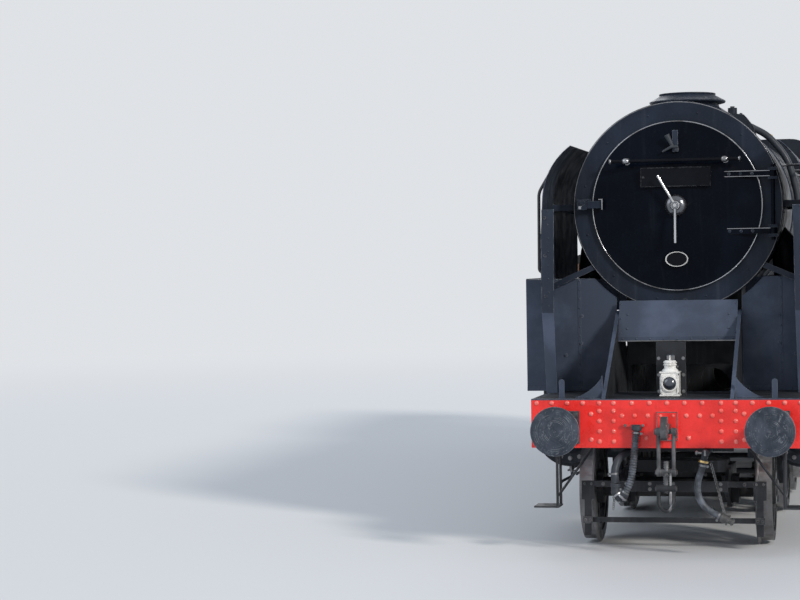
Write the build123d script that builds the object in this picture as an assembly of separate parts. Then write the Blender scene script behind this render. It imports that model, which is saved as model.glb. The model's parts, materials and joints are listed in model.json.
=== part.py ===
from build123d import *
import os
from math import atan2, cos, degrees, hypot, pi, radians, sin, sqrt, tan

# Heavy ten-coupled goods locomotive with a leading pony truck, two outside cylinders, in millimetres.
# X is across the engine and positive on its left side, Y runs back from the buffer heads' faces,
# Z is up from the rail's top. save() moves every piece to the middle of the length and lifts it by
# the flange depth, so the flange tips stand on zero.

# Overall sizes
HEIGHT = 3988.0               # chimney top above the rail
WIDTH = 2743.0                # over cylinders, running boards and cab
SKIN = 6.0                    # thickness of platework
SEAT = 0.3                    # clearance of a piece round a curved seat

# Wheels and axles
FLANGE = 28.6
FLANGE_THICK = 32.0
BACK_TO_BACK = 1360.0
TYRE_WIDTH = 140.0
TYRE_THICK = 76.0
RIM_THICK = 55.0
COUPLED_D = 1524.0
COUPLED_COUNT = 5
COUPLED_PITCH = 1651.0
COUPLED_FIRST_Y = 4101.0
COUPLED_SPOKES = 16
COUPLED_HUB_R = 165.0
MAIN_NUMBER = 3               # this axle is driven and its tyres have no flanges
PONY_D = 914.0
PONY_Y = 1510.0
PONY_SPOKES = 10
PONY_HUB_R = 145.0
PONY_AXLE_R = 85.0
PONY_SEAT_R = 80.0
AXLE_R = 115.0
WHEEL_SEAT_R = 105.0
WHEEL_FIT = 0.1
HUB_INNER_X = 655.0
HUB_OUTER_X = 838.0
SPOKE_HUB_WIDTH = 82.0
SPOKE_RIM_WIDTH = 54.0
SPOKE_THICK = 66.0
BALANCE_THICK = 84.0
COLLAR_R = 98.0
COLLAR_THICK = 9.0

# Frames
FRAME_INNER_X = 519.0
FRAME_THICK = 32.0
FRAME_TOP_Z = 1560.0
FRAME_LOW_Z = 640.0
FRAME_TAIL_LENGTH = 1155.0
FRAME_TAIL_SLOPE = 200.0
FRAME_TAIL_Z = 1400.0
BEAM_FACE_Y = 508.0
BEAM_THICK = 32.0
BEAM_HALF = 1143.0
BEAM_LOW_Z = 880.0
BEAM_TOP_Z = 1280.0
FRONT_SLOPE_TOP_Y = 1650.0
REAR_BEAM_BACK = 305.0        # behind the cab's side sheets
DRAG_LOW_Z = 950.0            # drag box between the frames' rear ends
DRAG_TOP_Z = 1210.0
DRAG_PLATE = 60.0             # plates above and below its pocket
HORN_GAP = 230.0
HORN_TOP_Z = 960.0
HORN_FOOT_Z = 470.0
HORNSTAY = 28.0               # depth of the stay under each horn gap
BOX_PLAY = 0.5                # axlebox brass round the journal
STRETCHER_THICK = 25.0
DRAWPIN_R = 45.0
DRAWPIN_INSET = 205.0         # ahead of the rear beam's face
FRONT_STRETCHER_Y = 900.0
HOOK_HALF = 29.0
COUPLING_PIN_R = 19.0

# Boiler
SMOKEBOX_R = 905.0
CHIMNEY_RISE = 162.0          # above the smokebox
SMOKEBOX_SKIN = 12.0
SMOKEBOX_FRONT_Y = 1650.0
SMOKEBOX_REAR_Y = 3900.0
RING_R = 922.0
RING_DEPTH = 45.0
DOOR_OPENING_R = 690.0
DOOR_R = 745.0
DOOR_DISH = 120.0
DOOR_RIM = 34.0
DOOR_GAP = 0.5
DOOR_SKIN = 12.0
BARREL_FRONT_R = 892.0
BARREL_REAR_R = 932.0
FIREBOX_FRONT_Y = 8550.0
BACKHEAD_Y = 10820.0
FIREBOX_HALF = 975.0
FIREBOX_NARROWING = 35.0
FIREBOX_RISE = 929.0          # flat top at the front, above the boiler's axis
FIREBOX_TOP_DROP = 110.0
FIREBOX_WAIST_DROP = 421.0    # where its sides start to lean in, below the boiler's axis
FIREBOX_LOW_Z = 1640.0
FIREBOX_CORNER = 280.0
ASHPAN_LOW_Z = 1250.0
DOME_Y = 6100.0
DOME_R = 300.0
SAFETY_VALVE_Y = 9000.0
CHIMNEY_Y = 2800.0
CHIMNEY_RIM_R = 352.0
CHIMNEY_BODY_R = 288.0
CHIMNEY_BORE_R = 215.0
HINGE_X = 838.0
HINGE_PIN_R = 17.0

# Cylinders and motion
CYL_X = 1050.0
STROKE = 711.0
INCLINE = degrees(atan2(1, 40))
CYL_FRONT_Y = 2150.0
CYL_REAR_Y = 3250.0
CYL_CLAD_R = WIDTH / 2 - CYL_X
VALVE_X = 1085.0
VALVE_RISE = 520.0
VALVE_CLAD_R = 205.0
CONNECTING_ROD = 3300.0
PISTON_ROD_R = 45.0
CRANK_PIN_R = 72.0
SIDE_ROD_X = 868.0
SIDE_ROD_THICK = 72.0
PIN_PLAY = 0.3
CROSSHEAD_IN_X = 975.0
CROSSHEAD_OUT_X = 1125.0
SLIDE_FRONT_Y = 3320.0
SLIDE_REAR_Y = 4790.0
BRACKET_THICK = 40.0
COVER_LEDGE = 31.5            # cylinder covers are smaller than the cladding by this
GEAR_X = 1150.0               # inner face of the valve gear's rods
LINK_Y, LINK_Z = 5050.0, 1290.0
ECCENTRIC_R = 150.0

# Running boards, platform and cab
PLATFORM_Z = 1290.0
PLATFORM_THICK = 10.0
BOARD_DROP = 631.0            # top of the running boards below the boiler's axis
BOARD_INSET = 5.5             # running boards are narrower than the cab, on each side
BOARD_INNER_X = 800.0
BOARD_EDGE = 60.0             # depth of the valance
DROP_SHEET_Y = 1700.0
CAB_FRONT_Y = 10250.0
CAB_LENGTH = 1800.0
ROOF_OVERHANG = 450.0
CAB_LOW_Z = 1760.0
CAB_WAIST_RISE = 610.0        # above the running boards
CAB_EAVES_RISE = 600.0        # above the waist
CAB_EAVES_INSET = 136.5
CAB_ROOF_RISE = 445.0         # above the eaves
CAB_FLOOR_Z = 1880.0
CAB_FLOOR_THICK = 12.0
CAB_WINDOW_SILL = 60.0        # above the waist
CAB_WINDOW_HEIGHT = 420.0
CAB_WINDOWS = [(270, 770), (850, 1350)]    # front and rear edge of each side window, from the cab's front
LAMP_BRACKET_Y = 900.0

# Deflectors
DEFLECTOR_X = 1138.0
DEFLECTOR_BEND_RISE = 79.0    # above the boiler's axis
DEFLECTOR_RISE = 544.0        # top edge above the boiler's axis
DEFLECTOR_TOP_X = 905.0
DEFLECTOR_REAR_Y = 3400.0

# Buffers
BUFFER_X = 870.0
BUFFER_Z = 1054.0
BUFFER_HEAD_R = 203.0
BUFFER_FLANGE_HALF = 137.0

# Pony truck
PIVOT_Y = 3400.0
PIVOT_R = 60.0
PIVOT_PLAY = 0.3
TRUCK_FRONT_Y = 950.0

# Front hoses, with the x, y and z of their routes
VACUUM_HOSE_R = 32.0
STEAM_HOSE_R = 28.0
VACUUM_ROUTE = [(-352, 425, 512), (-312, 425, 575), (-292, 425, 655), (-279, 425, 745), (-268, 428, 850),
                (-257, 436, 955), (-250, 446, 1030)]
STEAM_ROUTE = [(300, 440, 762), (288, 440, 706), (262, 440, 650), (246, 440, 565), (256, 440, 478),
               (300, 440, 405),
               (368, 440, 352), (440, 440, 318)]

# Worked out from the above
CAB_REAR_Y = CAB_FRONT_Y + CAB_LENGTH
REAR_BEAM_Y = CAB_REAR_Y + REAR_BEAM_BACK
DRAWPIN_Y = REAR_BEAM_Y - DRAWPIN_INSET
FRAME_TAIL_Y = REAR_BEAM_Y - FRAME_TAIL_LENGTH
LENGTH = CAB_REAR_Y + ROOF_OVERHANG    # buffer faces to the cab roof's rear edge
BOILER_Z = HEIGHT - CHIMNEY_RISE - SMOKEBOX_R
SMOKEBOX_TOP_Z = BOILER_Z + SMOKEBOX_R
FIREBOX_TOP_Z = BOILER_Z + FIREBOX_RISE
FRONT_SLOPE_TOP_Z = BOILER_Z - RING_R + 1
BOARD_Z = BOILER_Z - BOARD_DROP
BOARD_HALF = WIDTH / 2 - BOARD_INSET
CAB_WAIST_Z = BOARD_Z + CAB_WAIST_RISE
CAB_EAVES_Z = CAB_WAIST_Z + CAB_EAVES_RISE
CAB_EAVES_HALF = WIDTH / 2 - CAB_EAVES_INSET
CAB_ROOF_Z = CAB_EAVES_Z + CAB_ROOF_RISE
CAB_WINDOW_LOW = CAB_WAIST_Z + CAB_WINDOW_SILL
CAB_WINDOW_TOP = CAB_WINDOW_LOW + CAB_WINDOW_HEIGHT
DEFLECTOR_BEND_Z = BOILER_Z + DEFLECTOR_BEND_RISE
DEFLECTOR_TOP_Z = BOILER_Z + DEFLECTOR_RISE
AXLE_Z = COUPLED_D / 2
PONY_Z = PONY_D / 2
CRANK = STROKE / 2
COUPLED_YS = [COUPLED_FIRST_Y + COUPLED_PITCH * i for i in range(COUPLED_COUNT)]
BETWEEN_YS = [y + COUPLED_PITCH / 2 for y in COUPLED_YS[:-1]]
MAIN_Y = COUPLED_FIRST_Y + COUPLED_PITCH * (MAIN_NUMBER - 1)
WHEEL_INNER_X = BACK_TO_BACK / 2
WHEEL_OUTER_X = WHEEL_INNER_X + TYRE_WIDTH
FRAME_OUTER_X = FRAME_INNER_X + FRAME_THICK
BEAM_BACK_Y = BEAM_FACE_Y + BEAM_THICK
SIDE_ROD_OUT_X = SIDE_ROD_X + SIDE_ROD_THICK
LEVER_X = CROSSHEAD_OUT_X + 3
DROP_ARM_X = CYL_X + 84       # outer face of the crosshead's drop arm
HINGE_Y = SMOKEBOX_FRONT_Y - 62.0
HINGE_ZS = (BOILER_Z - 235.0, BOILER_Z + 265.0)
LEFT, RIGHT = 1, -1
# The crank's direction on each side, in degrees from straight down towards the rear
CRANK_TURN = {LEFT: 0.0, RIGHT: 90.0}

NODES = {}


# Small builders

def block(x0, x1, y0, y1, z0, z1):
    return Pos((x0 + x1) / 2, (y0 + y1) / 2, (z0 + z1) / 2) * Box(abs(x1 - x0), abs(y1 - y0), abs(z1 - z0))


def rod_x(r, x0, x1, y, z):
    return Pos((x0 + x1) / 2, y, z) * Rot(0, 90, 0) * Cylinder(r, abs(x1 - x0))


def rod_y(r, y0, y1, x, z):
    return Pos(x, (y0 + y1) / 2, z) * Rot(90, 0, 0) * Cylinder(r, abs(y1 - y0))


def rod_z(r, z0, z1, x, y):
    return Pos(x, y, (z0 + z1) / 2) * Cylinder(r, abs(z1 - z0))


def rod(a, b, r):
    """A round bar from point a to point b."""
    a, b = Vector(*a), Vector(*b)
    return Plane(origin=(a + b) / 2, z_dir=b - a) * Cylinder(r, (b - a).length)


def plate_side(points, x0, x1):
    """An outline of (y, z) points made into a plate from x0 to x1."""
    face = make_face(Polyline(*[(0, y, z) for y, z in points], close=True))
    return Pos(min(x0, x1), 0, 0) * extrude(face, amount=abs(x1 - x0), dir=(1, 0, 0))


def plate_cross(points, y0, y1):
    """An outline of (x, z) points made into a plate from y0 to y1."""
    face = make_face(Polyline(*[(x, 0, z) for x, z in points], close=True))
    return Pos(0, y0, 0) * extrude(face, amount=y1 - y0, dir=(0, 1, 0))


def plate_flat(points, z0, z1):
    """An outline of (x, y) points made into a plate from z0 to z1."""
    face = make_face(Polyline(*[(x, y, 0) for x, y in points], close=True))
    return Pos(0, 0, z0) * extrude(face, amount=z1 - z0, dir=(0, 0, 1))


def turned_x(points):
    """A turned piece on the X axis from (x, radius) points."""
    return revolve(make_face(Polyline(*[(x, r) for x, r in points], close=True)), Axis.X)


def turned_y(points, x=0.0, z=0.0):
    """A turned piece along Y from (radius, y) points."""
    return Pos(x, 0, z) * revolve(make_face(Polyline(*points, close=True)), Axis.Y)


def turned_z(points, x=0.0, y=0.0):
    """A turned piece along Z from (radius, z) points."""
    face = make_face(Polyline(*[(r, 0, z) for r, z in points], close=True))
    return Pos(x, y, 0) * revolve(face, Axis.Z)


def joined(*shapes):
    """One piece made of shapes that overlap or touch."""
    first, *rest = flat(shapes)
    return first.fuse(*rest) if rest else first


def flat(shapes):
    """The single solids of nested lists of shapes."""
    found = []
    for shape in shapes:
        if isinstance(shape, (list, tuple)):
            found += flat(shape)
        else:
            found += list(shape.solids())
    return found


def other_side(shape):
    return mirror(shape, Plane.YZ)


def both_sides(shape):
    return [shape, other_side(shape)]


def node(name, *shapes):
    NODES[name] = Compound(children=flat(shapes))


def tube_path(points):
    """Straight runs joined by the widest arcs that the runs allow; returns the wire and its radii."""
    spots = [Vector(*p) for p in points]
    radii = []
    for a, b, c in zip(spots, spots[1:], spots[2:]):
        shorter = min((b - a).length, (c - b).length)
        radii.append(0.45 * shorter / tan(radians((b - a).get_angle(c - b)) / 2))
    return FilletPolyline(*spots, radius=radii), radii


def tube(points, r):
    wire = tube_path(points)[0]
    return sweep(Plane(origin=wire @ 0, z_dir=wire % 0) * Circle(r), path=wire)


def tube_of(points, radii, r):
    """A round rail or pipe along points, with its own radius at each corner."""
    wire = FilletPolyline(*[Vector(*p) for p in points], radius=radii)
    return sweep(Plane(origin=wire @ 0, z_dir=wire % 0) * Circle(r), path=wire)


def on_axis(shape):
    """Places a piece of the motion, whose Y runs from the main axle along the cylinder's axis."""
    return Pos(0, MAIN_Y, AXLE_Z) * Rot(-INCLINE, 0, 0) * shape


def axis_z(y):
    """Height of the cylinder's axis at y."""
    return AXLE_Z + (MAIN_Y - y) * tan(radians(INCLINE))


def on_axis_point(y, rise):
    """The (y, z) of a point at a distance y along the cylinder's axis and rise above it."""
    tilt = radians(INCLINE)
    along = y - MAIN_Y
    return MAIN_Y + along * cos(tilt) + rise * sin(tilt), AXLE_Z - along * sin(tilt) + rise * cos(tilt)


def crank_spot(side, throw=CRANK):
    """Offset (y, z) of a crank pin from its axle."""
    turn = radians(CRANK_TURN[side])
    return throw * sin(turn), -throw * cos(turn)


def crosshead_run(side):
    """Distance along the cylinder's axis from the main axle to the crosshead's pin, and the pin's drop."""
    y, z = crank_spot(side)
    tilt = radians(INCLINE)
    along = y * cos(tilt) - z * sin(tilt)
    across = y * sin(tilt) + z * cos(tilt)
    return along - sqrt(CONNECTING_ROD ** 2 - across ** 2), along, across


# Wheels

def wheel(diameter, spokes, hub_r, seat_r, flanged):
    """A spoked wheel on the engine's left side, centred on its axle, with its tyre shrunk on."""
    tread = diameter / 2
    rim = tread - TYRE_THICK
    inside = rim - RIM_THICK
    x0, x1 = WHEEL_INNER_X, WHEEL_OUTER_X
    tyre = [(x0, tread - TYRE_THICK), (x1, tread - TYRE_THICK), (x1, tread)]
    if flanged:
        tyre += [(x0 + FLANGE_THICK, tread), (x0 + 0.75 * FLANGE_THICK, tread + FLANGE)]
        tyre += [(x0 + 0.3 * FLANGE_THICK, tread + FLANGE), (x0, tread + 0.3 * FLANGE)]
    else:
        tyre += [(x0, tread)]
    rim_band = [(x0 + 12, inside), (x1 - 12, inside), (x1 - 12, rim), (x0 + 12, rim)]
    hub = [(HUB_INNER_X, seat_r + WHEEL_FIT), (HUB_OUTER_X, seat_r + WHEEL_FIT)]
    hub += [(HUB_OUTER_X, hub_r), (HUB_INNER_X, hub_r)]
    middle = (x0 + x1) / 2
    arms = []
    for i in range(spokes):
        a, b = SPOKE_HUB_WIDTH / 2, SPOKE_RIM_WIDTH / 2
        root, tip = hub_r - 12, inside + 12
        arm = plate_side([(-a, root), (a, root), (b, tip), (-b, tip)], middle - SPOKE_THICK / 2,
                         middle + SPOKE_THICK / 2)
        arms.append(Rot(360 / spokes * (i + 0.5), 0, 0) * arm)
    return joined(turned_x(tyre), turned_x(rim_band), turned_x(hub), arms)


def balance_weight(share):
    """The crescent between the rim and a chord, opposite the crank, for a wheel with its crank up."""
    inside = COUPLED_D / 2 - TYRE_THICK - RIM_THICK + 10
    middle = (WHEEL_INNER_X + WHEEL_OUTER_X) / 2
    disc = rod_x(inside, middle - BALANCE_THICK / 2, middle + BALANCE_THICK / 2, 0, 0)
    chord = share * inside
    return disc & block(0, 2000, -inside, inside, -inside, -chord)


def crank_boss(pin_x):
    """The cast boss, its web from the hub, and the crank pin out to pin_x, for a crank straight up."""
    x0, x1 = WHEEL_INNER_X + 38, HUB_OUTER_X
    boss_r, hub_r = 125.0, COUPLED_HUB_R
    web = plate_side([(-hub_r * 0.9, 0), (hub_r * 0.9, 0), (boss_r * 0.96, CRANK), (-boss_r * 0.96, CRANK)],
                     x0, x1)
    web -= rod_x(WHEEL_SEAT_R + WHEEL_FIT, 0, 2000, 0, 0)
    return [rod_x(boss_r, x0, x1, 0, CRANK), web, rod_x(CRANK_PIN_R, x1 - 5, pin_x, 0, CRANK)]


# for each axle: balance weight's chord as a share of the radius, whether a collar holds the rod
WHEELSETS = [(0.72, False), (0.72, True), (0.50, True), (0.72, True), (0.72, True)]


def coupled_wheelsets():
    plain = {flanged: wheel(COUPLED_D, COUPLED_SPOKES, COUPLED_HUB_R, WHEEL_SEAT_R,
                            flanged) for flanged in (True, False)}
    for number, (share, collar) in enumerate(WHEELSETS, 1):
        pin_x = SIDE_ROD_OUT_X + PIN_PLAY if collar else SIDE_ROD_OUT_X - 2
        extra = crank_boss(pin_x)
        if collar:
            extra.append(rod_x(COLLAR_R, pin_x, pin_x + COLLAR_THICK, 0, CRANK))
        one = joined(plain[number != MAIN_NUMBER], balance_weight(share), extra)
        pair = []
        for side in (LEFT, RIGHT):
            # a positive turn about X takes a crank that points up towards the front
            turned = Rot(180 + CRANK_TURN[side], 0, 0) * one
            placed = Pos(0, COUPLED_YS[number - 1], AXLE_Z) * turned
            pair.append(placed if side == LEFT else other_side(placed))
        node(f"coupled_wheelset_{number}", pair, axle(COUPLED_YS[number - 1], AXLE_Z, AXLE_R, WHEEL_SEAT_R))


def axle(y, z, journal_r, seat_r):
    """Journals and body between the hubs, with a wheel seat through each hub."""
    x = HUB_INNER_X - 1.0
    end = HUB_OUTER_X + 4
    points = [(-end, 0), (end, 0), (end, seat_r), (x, seat_r), (x, journal_r)]
    points += [(-x, journal_r), (-x, seat_r), (-end, seat_r)]
    return Pos(0, y, z) * turned_x(points)


def pony_wheelset():
    one = Pos(0, PONY_Y, PONY_Z) * wheel(PONY_D, PONY_SPOKES, PONY_HUB_R, PONY_SEAT_R, True)
    node("pony_wheelset", both_sides(one), axle(PONY_Y, PONY_Z, PONY_AXLE_R, PONY_SEAT_R))


def side_rods():
    """One rod along the five crank pins on each side, with an eye at each pin."""
    eye_r = {n: 132.0 if n == MAIN_NUMBER else 116.0 for n in range(1, COUPLED_COUNT + 1)}
    half = 58.0
    for side, name in ((LEFT, "side_rod_left"), (RIGHT, "side_rod_right")):
        dy, dz = crank_spot(side)
        spots = [(n, COUPLED_YS[n - 1] + dy) for n in eye_r]
        z = AXLE_Z + dz
        bar = block(SIDE_ROD_X + 10, SIDE_ROD_OUT_X - 10, spots[0][1], spots[-1][1], z - half, z + half)
        eyes = [rod_x(eye_r[n], SIDE_ROD_X, SIDE_ROD_OUT_X, y, z) for n, y in spots]
        body = joined(bar, eyes)
        for n, y in spots:
            body -= rod_x(CRANK_PIN_R + PIN_PLAY, 0, 2000, y, z)
        for (n, y0), (m, y1) in zip(spots, spots[1:]):
            flute = (y0 + eye_r[n] + 70, y1 - eye_r[m] - 70)
            body -= block(SIDE_ROD_OUT_X - 26, 2000, *flute, z - half + 20, z + half - 20)
        node(name, body if side == LEFT else other_side(body))


# Frames

def frames():
    end_y = REAR_BEAM_Y - BEAM_THICK
    cylinder_top = FRAME_TOP_Z + 100
    outline = [(BEAM_BACK_Y, BEAM_LOW_Z + 10), (1050, BEAM_LOW_Z + 10), (1300, 1010), (2000, 1010),
               (2300, 760)]
    outline += [(3300, FRAME_LOW_Z), (end_y - 973, FRAME_LOW_Z), (end_y - 623, BEAM_LOW_Z),
                (end_y, BEAM_LOW_Z)]
    outline += [(end_y, FRAME_TAIL_Z), (FRAME_TAIL_Y + FRAME_TAIL_SLOPE, FRAME_TAIL_Z),
                (FRAME_TAIL_Y, FRAME_TOP_Z)]
    outline += [(3600, FRAME_TOP_Z), (3400, cylinder_top), (2100, cylinder_top), (1900, FRONT_SLOPE_TOP_Z)]
    outline += [(FRONT_SLOPE_TOP_Y, FRONT_SLOPE_TOP_Z)]
    outline += [(BEAM_BACK_Y, PLATFORM_Z)]
    plate = plate_side(outline, FRAME_INNER_X, FRAME_OUTER_X)
    for y in COUPLED_YS:
        foot = [(y - 330, FRAME_LOW_Z + 60), (y - 230, HORN_FOOT_Z), (y + 230, HORN_FOOT_Z),
                (y + 330, FRAME_LOW_Z + 60)]
        plate = plate.fuse(plate_side(foot, FRAME_INNER_X, FRAME_OUTER_X))
    for y in COUPLED_YS:
        plate -= block(0, 900, y - HORN_GAP / 2, y + HORN_GAP / 2, 0, HORN_TOP_Z)
        plate = plate.fuse(block(FRAME_INNER_X - 10, FRAME_OUTER_X + 10, y - 190, y + 190,
                                 HORN_FOOT_Z - HORNSTAY, HORN_FOOT_Z))
    # cross stretchers: y, lowest z, highest z
    stretchers = [(FRONT_STRETCHER_Y, 820, 1250)]
    stretchers += [(y, FRAME_LOW_Z + 60, FRAME_TOP_Z - 20) for y in BETWEEN_YS]
    pieces = both_sides(plate)
    for y, z0, z1 in stretchers:
        web = block(-FRAME_INNER_X, FRAME_INNER_X, y - STRETCHER_THICK / 2, y + STRETCHER_THICK / 2, z0, z1)
        if z1 - z0 > 500:
            web -= rod_y(220, y - 100, y + 100, 0, (z0 + z1) / 2)
        pieces.append(web)
    pivot = block(-FRAME_INNER_X, FRAME_INNER_X, PIVOT_Y - 230, PIVOT_Y + 230, 700, 780)
    pin = rod_z(PIVOT_R, 440, 700, 0, PIVOT_Y)
    drag = block(-FRAME_INNER_X, FRAME_INNER_X, DRAWPIN_Y - 400, end_y, DRAG_LOW_Z, DRAG_TOP_Z)
    pocket = block(-150, 150, DRAWPIN_Y - 250, REAR_BEAM_Y + 10, DRAG_LOW_Z + DRAG_PLATE,
                   DRAG_TOP_Z - DRAG_PLATE)
    drag -= pocket
    drag -= rod_z(DRAWPIN_R, DRAG_LOW_Z - 10, DRAG_TOP_Z + 10, 0, DRAWPIN_Y)
    rear = block(-BEAM_HALF, BEAM_HALF, REAR_BEAM_Y - BEAM_THICK, REAR_BEAM_Y, BEAM_LOW_Z, FRAME_TAIL_Z)
    rear -= pocket
    node("main_frames", joined(pieces, pivot, pin, drag, rear))


def axleboxes_and_springs():
    boxes, springs = [], []
    for y in COUPLED_YS:
        half = HORN_GAP / 2 - SEAT
        box = block(FRAME_INNER_X - 60, FRAME_OUTER_X + 45, y - half, y + half, 620, 935)
        box = joined(box, block(FRAME_OUTER_X + SEAT, FRAME_OUTER_X + 45, y - half - 25, y + half + 25, 640,
                                915))
        box -= rod_x(AXLE_R + BOX_PLAY, 0, 900, y, AXLE_Z)
        boxes += both_sides(box)
        leaves = [(y - 470, 395), (y - 150, 330), (y + 150, 330), (y + 470, 395), (y + 470, 415),
                  (y + 150, 425)]
        leaves += [(y - 150, 425), (y - 470, 415)]
        centre = FRAME_INNER_X + FRAME_THICK / 2
        pack = plate_side(leaves, centre - 50, centre + 50)
        buckle = block(centre - 62, centre + 62, y - 60, y + 60, 310, HORN_FOOT_Z - HORNSTAY)
        hangers = [rod_z(18, 400, 655, centre, y + d) for d in (-440, 440)]
        springs += both_sides(joined(pack, buckle, hangers) - block(centre - 18, centre + 18, y - 900,
                                                                    y + 900, 636, 700))
    node("axleboxes", boxes)
    node("springs", springs)


def saddle():
    seat = block(-FRAME_INNER_X, FRAME_INNER_X, CYL_FRONT_Y, CYL_REAR_Y, 1010, BOILER_Z - 671)
    seat -= rod_y(SMOKEBOX_R + SEAT, SMOKEBOX_FRONT_Y, SMOKEBOX_REAR_Y, 0, BOILER_Z)
    seat -= block(-FRAME_INNER_X + 40, FRAME_INNER_X - 40, CYL_FRONT_Y - 10, CYL_REAR_Y + 10, 900, 1500)
    node("smokebox_saddle", seat)


def buffer_beam():
    plate = block(-BEAM_HALF, BEAM_HALF, BEAM_FACE_Y, BEAM_BACK_Y, BEAM_LOW_Z, BEAM_TOP_Z)
    pad = block(-88, 88, BEAM_FACE_Y - 20, BEAM_FACE_Y, BUFFER_Z - 110, BUFFER_Z + 130)
    h = HOOK_HALF + SEAT
    hole = block(-h, h, 300, 700, BUFFER_Z - h, BUFFER_Z + h)
    flange_top = block(-BEAM_HALF, BEAM_HALF, BEAM_BACK_Y, BEAM_BACK_Y + 90, BEAM_TOP_Z - 12, BEAM_TOP_Z)
    flange_top -= block(-FRAME_OUTER_X - 1, FRAME_OUTER_X + 1, 500, 700, 0, 2000)
    node("buffer_beam", joined(plate, pad, flange_top) - hole)


def buffers():
    y = BEAM_FACE_Y
    profile = [(0, 0), (BUFFER_HEAD_R - 40, 0), (BUFFER_HEAD_R, 10), (BUFFER_HEAD_R, 30), (90, 52), (72, 70)]
    profile += [(72, 215), (104, 215), (108, 330), (118, y - 60), (130, y - 25), (0, y - 25)]
    half = BUFFER_FLANGE_HALF
    flange = block(-half, half, y - 25, y, -half, half)
    one = Pos(BUFFER_X, 0, BUFFER_Z) * joined(turned_y(profile), flange)
    node("buffers", both_sides(one))


def draw_hook():
    h = HOOK_HALF
    shank = block(-h, h, 330, BEAM_BACK_Y + 60, BUFFER_Z - h, BUFFER_Z + h)
    nut = block(-75, 75, BEAM_BACK_Y, BEAM_BACK_Y + 55, BUFFER_Z - 75, BUFFER_Z + 75)
    ring = rod_x(98, -26, 26, 262, BUFFER_Z + 10) - rod_x(40, -60, 60, 262, BUFFER_Z + 16)
    mouth = plate_side([(262, BUFFER_Z + 30), (215, BUFFER_Z + 150), (300, BUFFER_Z + 150)], -60, 60)
    eye = rod_x(60, -26, 26, 385, BUFFER_Z - 20)
    hook = joined(shank, nut, ring - mouth, eye) - rod_x(COUPLING_PIN_R + 1, -90, 90, 385, BUFFER_Z - 28)
    node("draw_hook", hook)


def screw_coupling():
    """Two upper links on a pin through the hook, a screw with its tommy bar, and the lower shackle."""
    y, top, low = 385.0, BUFFER_Z - 28, 690.0
    pin = rod_x(COUPLING_PIN_R, -78, 78, y, top)
    links = []
    for x in (-62, 62):
        links += [rod_z(17, low, top, x, y), rod_x(34, x - 17, x + 17, y, top),
                  rod_x(34, x - 17, x + 17, y, low)]
    trunnion = rod_x(30, -80, 80, y, low)
    screw = rod((0, y, low + 90), (0, y - 40, 520), 21)
    nut = rod_x(32, -80, 80, y - 35, 560)
    shackle = tube([(-62, y - 35, 560), (-62, y - 60, 420), (0, y - 68, 360), (62, y - 60, 420),
                    (62, y - 35, 560)], 16)
    bar = rod((38, y - 45, 690), (38, y - 45, 520), 9)
    weight = Pos(38, y - 45, 0) * turned_z([(0, 420), (16, 424), (21, 450), (16, 520), (0, 520)])
    arm = rod_x(9, 0, 45, y - 45, 668)
    node("screw_coupling", joined(pin, links, trunnion, screw, nut, shackle, bar, weight, arm,
                                  rod_y(12, y - 50, y, 10, 668)))


# Front end

def front_platform():
    z0, z1 = PLATFORM_Z - PLATFORM_THICK, PLATFORM_Z
    y0, y1 = BEAM_FACE_Y, DROP_SHEET_Y
    wing = block(FRAME_OUTER_X, BEAM_HALF, y0, y1, z0, z1)
    middle = block(-FRAME_INNER_X, FRAME_INNER_X, BEAM_BACK_Y, 1500, z0, z1)
    lip = block(-FRAME_OUTER_X, FRAME_OUTER_X, BEAM_FACE_Y, BEAM_BACK_Y, z0, z1)
    x, r = FRAME_OUTER_X, 420.0
    gusset = plate_cross([(x, z1), (x + 230, z1), (x, z1 + 190)], 640, 652) - rod_y(r, 600, 700, x + 360,
                                                                                    z1 + 405)
    y = LAMP_BRACKET_Y
    bracket = block(-125, 125, y, y + 14, z1, 1750)
    legs = [block(x - 6, x + 6, y + 14, y + 160, z1, 1500) for x in (-110, 110)]
    iron = block(-25, 25, y - 8, y, z1, 1640)
    irons = []
    for x in (-885, 885):
        irons.append(block(x - 24, x + 24, BEAM_BACK_Y, BEAM_BACK_Y + 8, z1, z1 + 141))
        irons.append(rod_y(24, BEAM_BACK_Y, BEAM_BACK_Y + 8, x, z1 + 141))
    node("front_platform", joined(wing, other_side(wing), middle, lip, both_sides(gusset), bracket, legs,
                                  iron, irons))


def front_casing():
    """Sheets that close the front between platform and running boards, cut round the smokebox."""
    y0, y1 = DROP_SHEET_Y, DROP_SHEET_Y + SKIN
    cut = rod_y(RING_R + 50, 1000, 2500, 0, BOILER_Z)
    sheet = block(FRAME_OUTER_X, BOARD_HALF, y0, y1, PLATFORM_Z, BOARD_Z - SKIN)
    sheet -= cut
    top, low = (FRONT_SLOPE_TOP_Y - 15, FRONT_SLOPE_TOP_Z + 90), (1500, FRONT_SLOPE_TOP_Z - 225)
    apron = [low, (low[0], low[1] - 40), (low[0] + SKIN, low[1] - 40), (low[0] + SKIN, low[1]),
             (top[0] + SKIN, top[1]), top]
    middle = plate_side(apron, -FRAME_INNER_X, FRAME_INNER_X)
    node("front_casing", both_sides(sheet), middle)


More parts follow.
